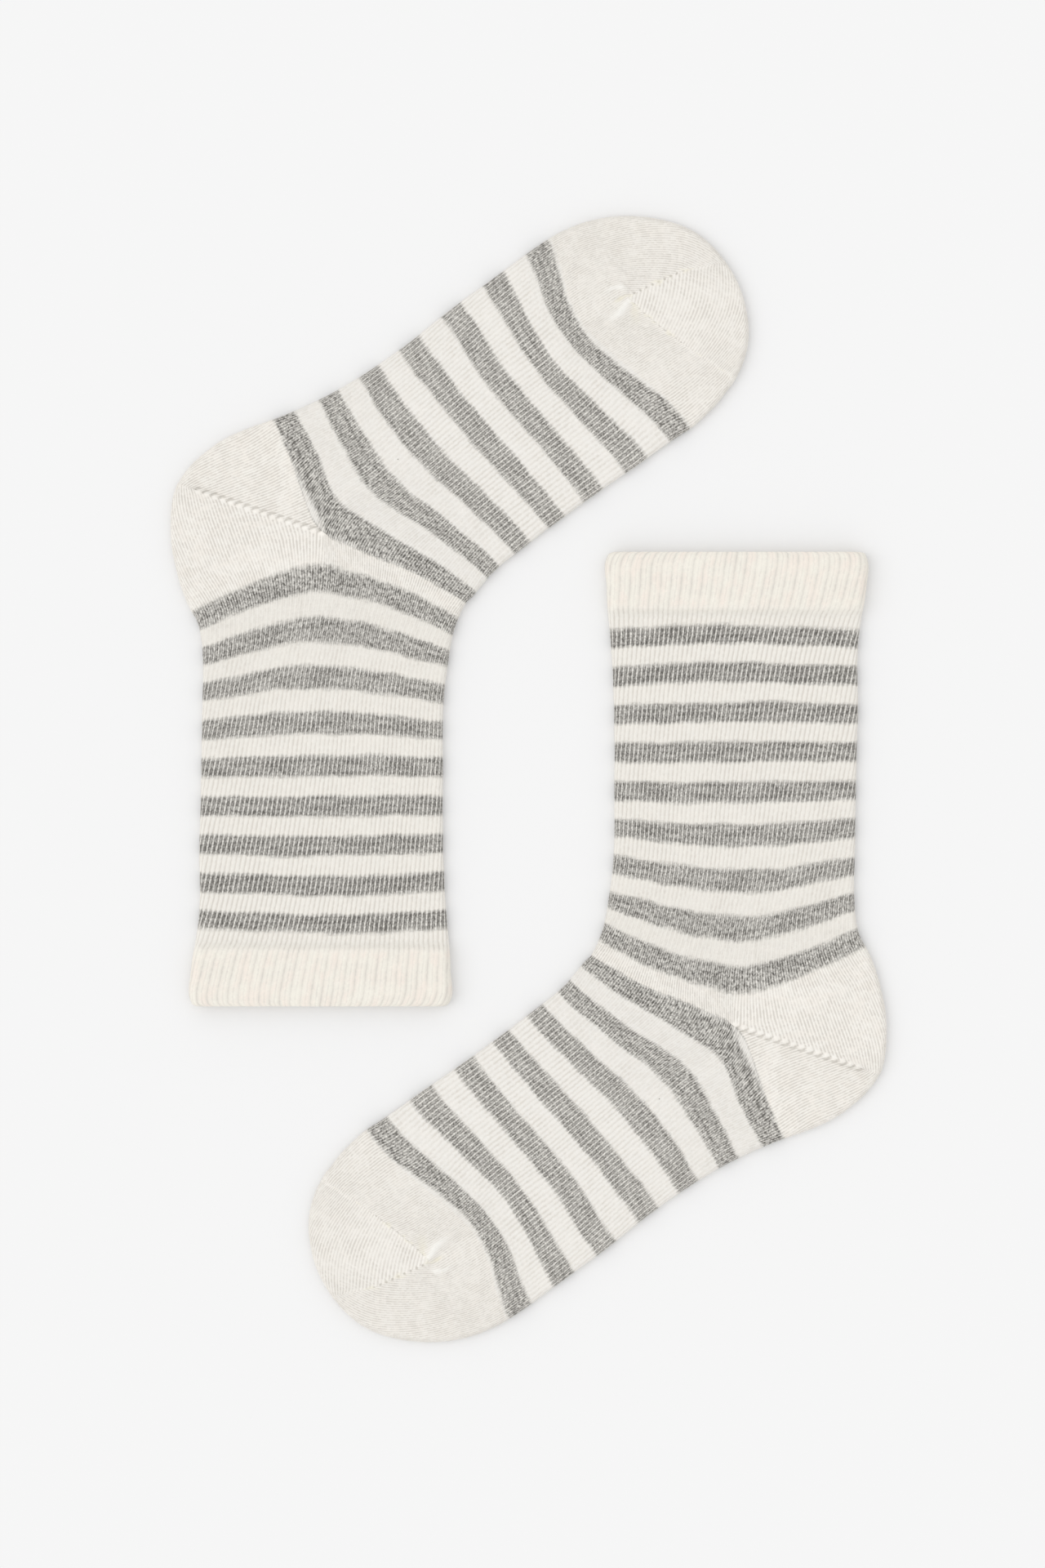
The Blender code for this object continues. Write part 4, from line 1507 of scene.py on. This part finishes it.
# %% Table
TABLE_M = 6.0
TABLE_WHITE = 0.84
corner = TABLE_M / 2
table_mesh = bpy.data.meshes.new("table")
corners = [(x * corner, y * corner, 0) for x, y in ((-1, -1), (1, -1), (1, 1), (-1, 1))]
table_mesh.from_pydata(corners, [], [(0, 1, 2, 3)])
table = bpy.data.objects.new("table", table_mesh)
bpy.context.scene.collection.objects.link(table)
white = bpy.data.materials.new("white_paper")
white.use_nodes = True
paint = white.node_tree.nodes["Principled BSDF"].inputs
paint["Base Color"].default_value = (TABLE_WHITE,) * 3 + (1.0,)
paint["Roughness"].default_value = 1.0
paint["Specular IOR Level"].default_value = 0.0
table_mesh.materials.append(white)

# %% Light
LAMP_ANGLE = 50  # how wide the lamp looks from the table, in degrees
LAMP_HEIGHT, LAMP_TURN = 50, 182  # where it stands: degrees up, and round from the right
LAMP_STRENGTH = 0.54
SKY_STRENGTH = 0.967
lamp_data = bpy.data.lights.new("lamp", "SUN")
lamp_data.energy = LAMP_STRENGTH
lamp_data.angle = math.radians(LAMP_ANGLE)
lamp = bpy.data.objects.new("lamp", lamp_data)
lamp.rotation_euler = (0, math.radians(90 - LAMP_HEIGHT), math.radians(LAMP_TURN))
bpy.context.scene.collection.objects.link(lamp)

world = bpy.data.worlds.new("sky")
world.use_nodes = True
world.node_tree.nodes["Background"].inputs["Strength"].default_value = SKY_STRENGTH
world.node_tree.nodes["Background"].inputs["Color"].default_value = (1, 1, 1, 1)
bpy.context.scene.world = world
print(f"lamp {LAMP_HEIGHT} degrees up, sky {SKY_STRENGTH}")

# %% Camera
EYE_M = 1.5
FRAME_M = 0.4220  # the length of table that the picture shows
AIM = (-1.648 * MM, -1.319 * MM)
SENSOR_MM = 36
camera_data = bpy.data.cameras.new("camera")
camera_data.sensor_fit = "VERTICAL"
camera_data.sensor_height = SENSOR_MM
camera_data.lens = SENSOR_MM * EYE_M / FRAME_M
camera = bpy.data.objects.new("camera", camera_data)
camera.location = (*AIM, EYE_M)
bpy.context.scene.collection.objects.link(camera)
bpy.context.scene.camera = camera
bpy.context.scene.view_settings.view_transform = "Standard"
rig.stage(table, lamp, camera)
print(f"camera {EYE_M} m up, lens {camera_data.lens:.0f} mm")

# %% Sizes, and the end
os.makedirs(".", exist_ok=True)
with open("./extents.json", "w") as file:
    json.dump({"cad": [list(c) for c in cad_box], "scene": [list(c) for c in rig.bounds()]}, file)
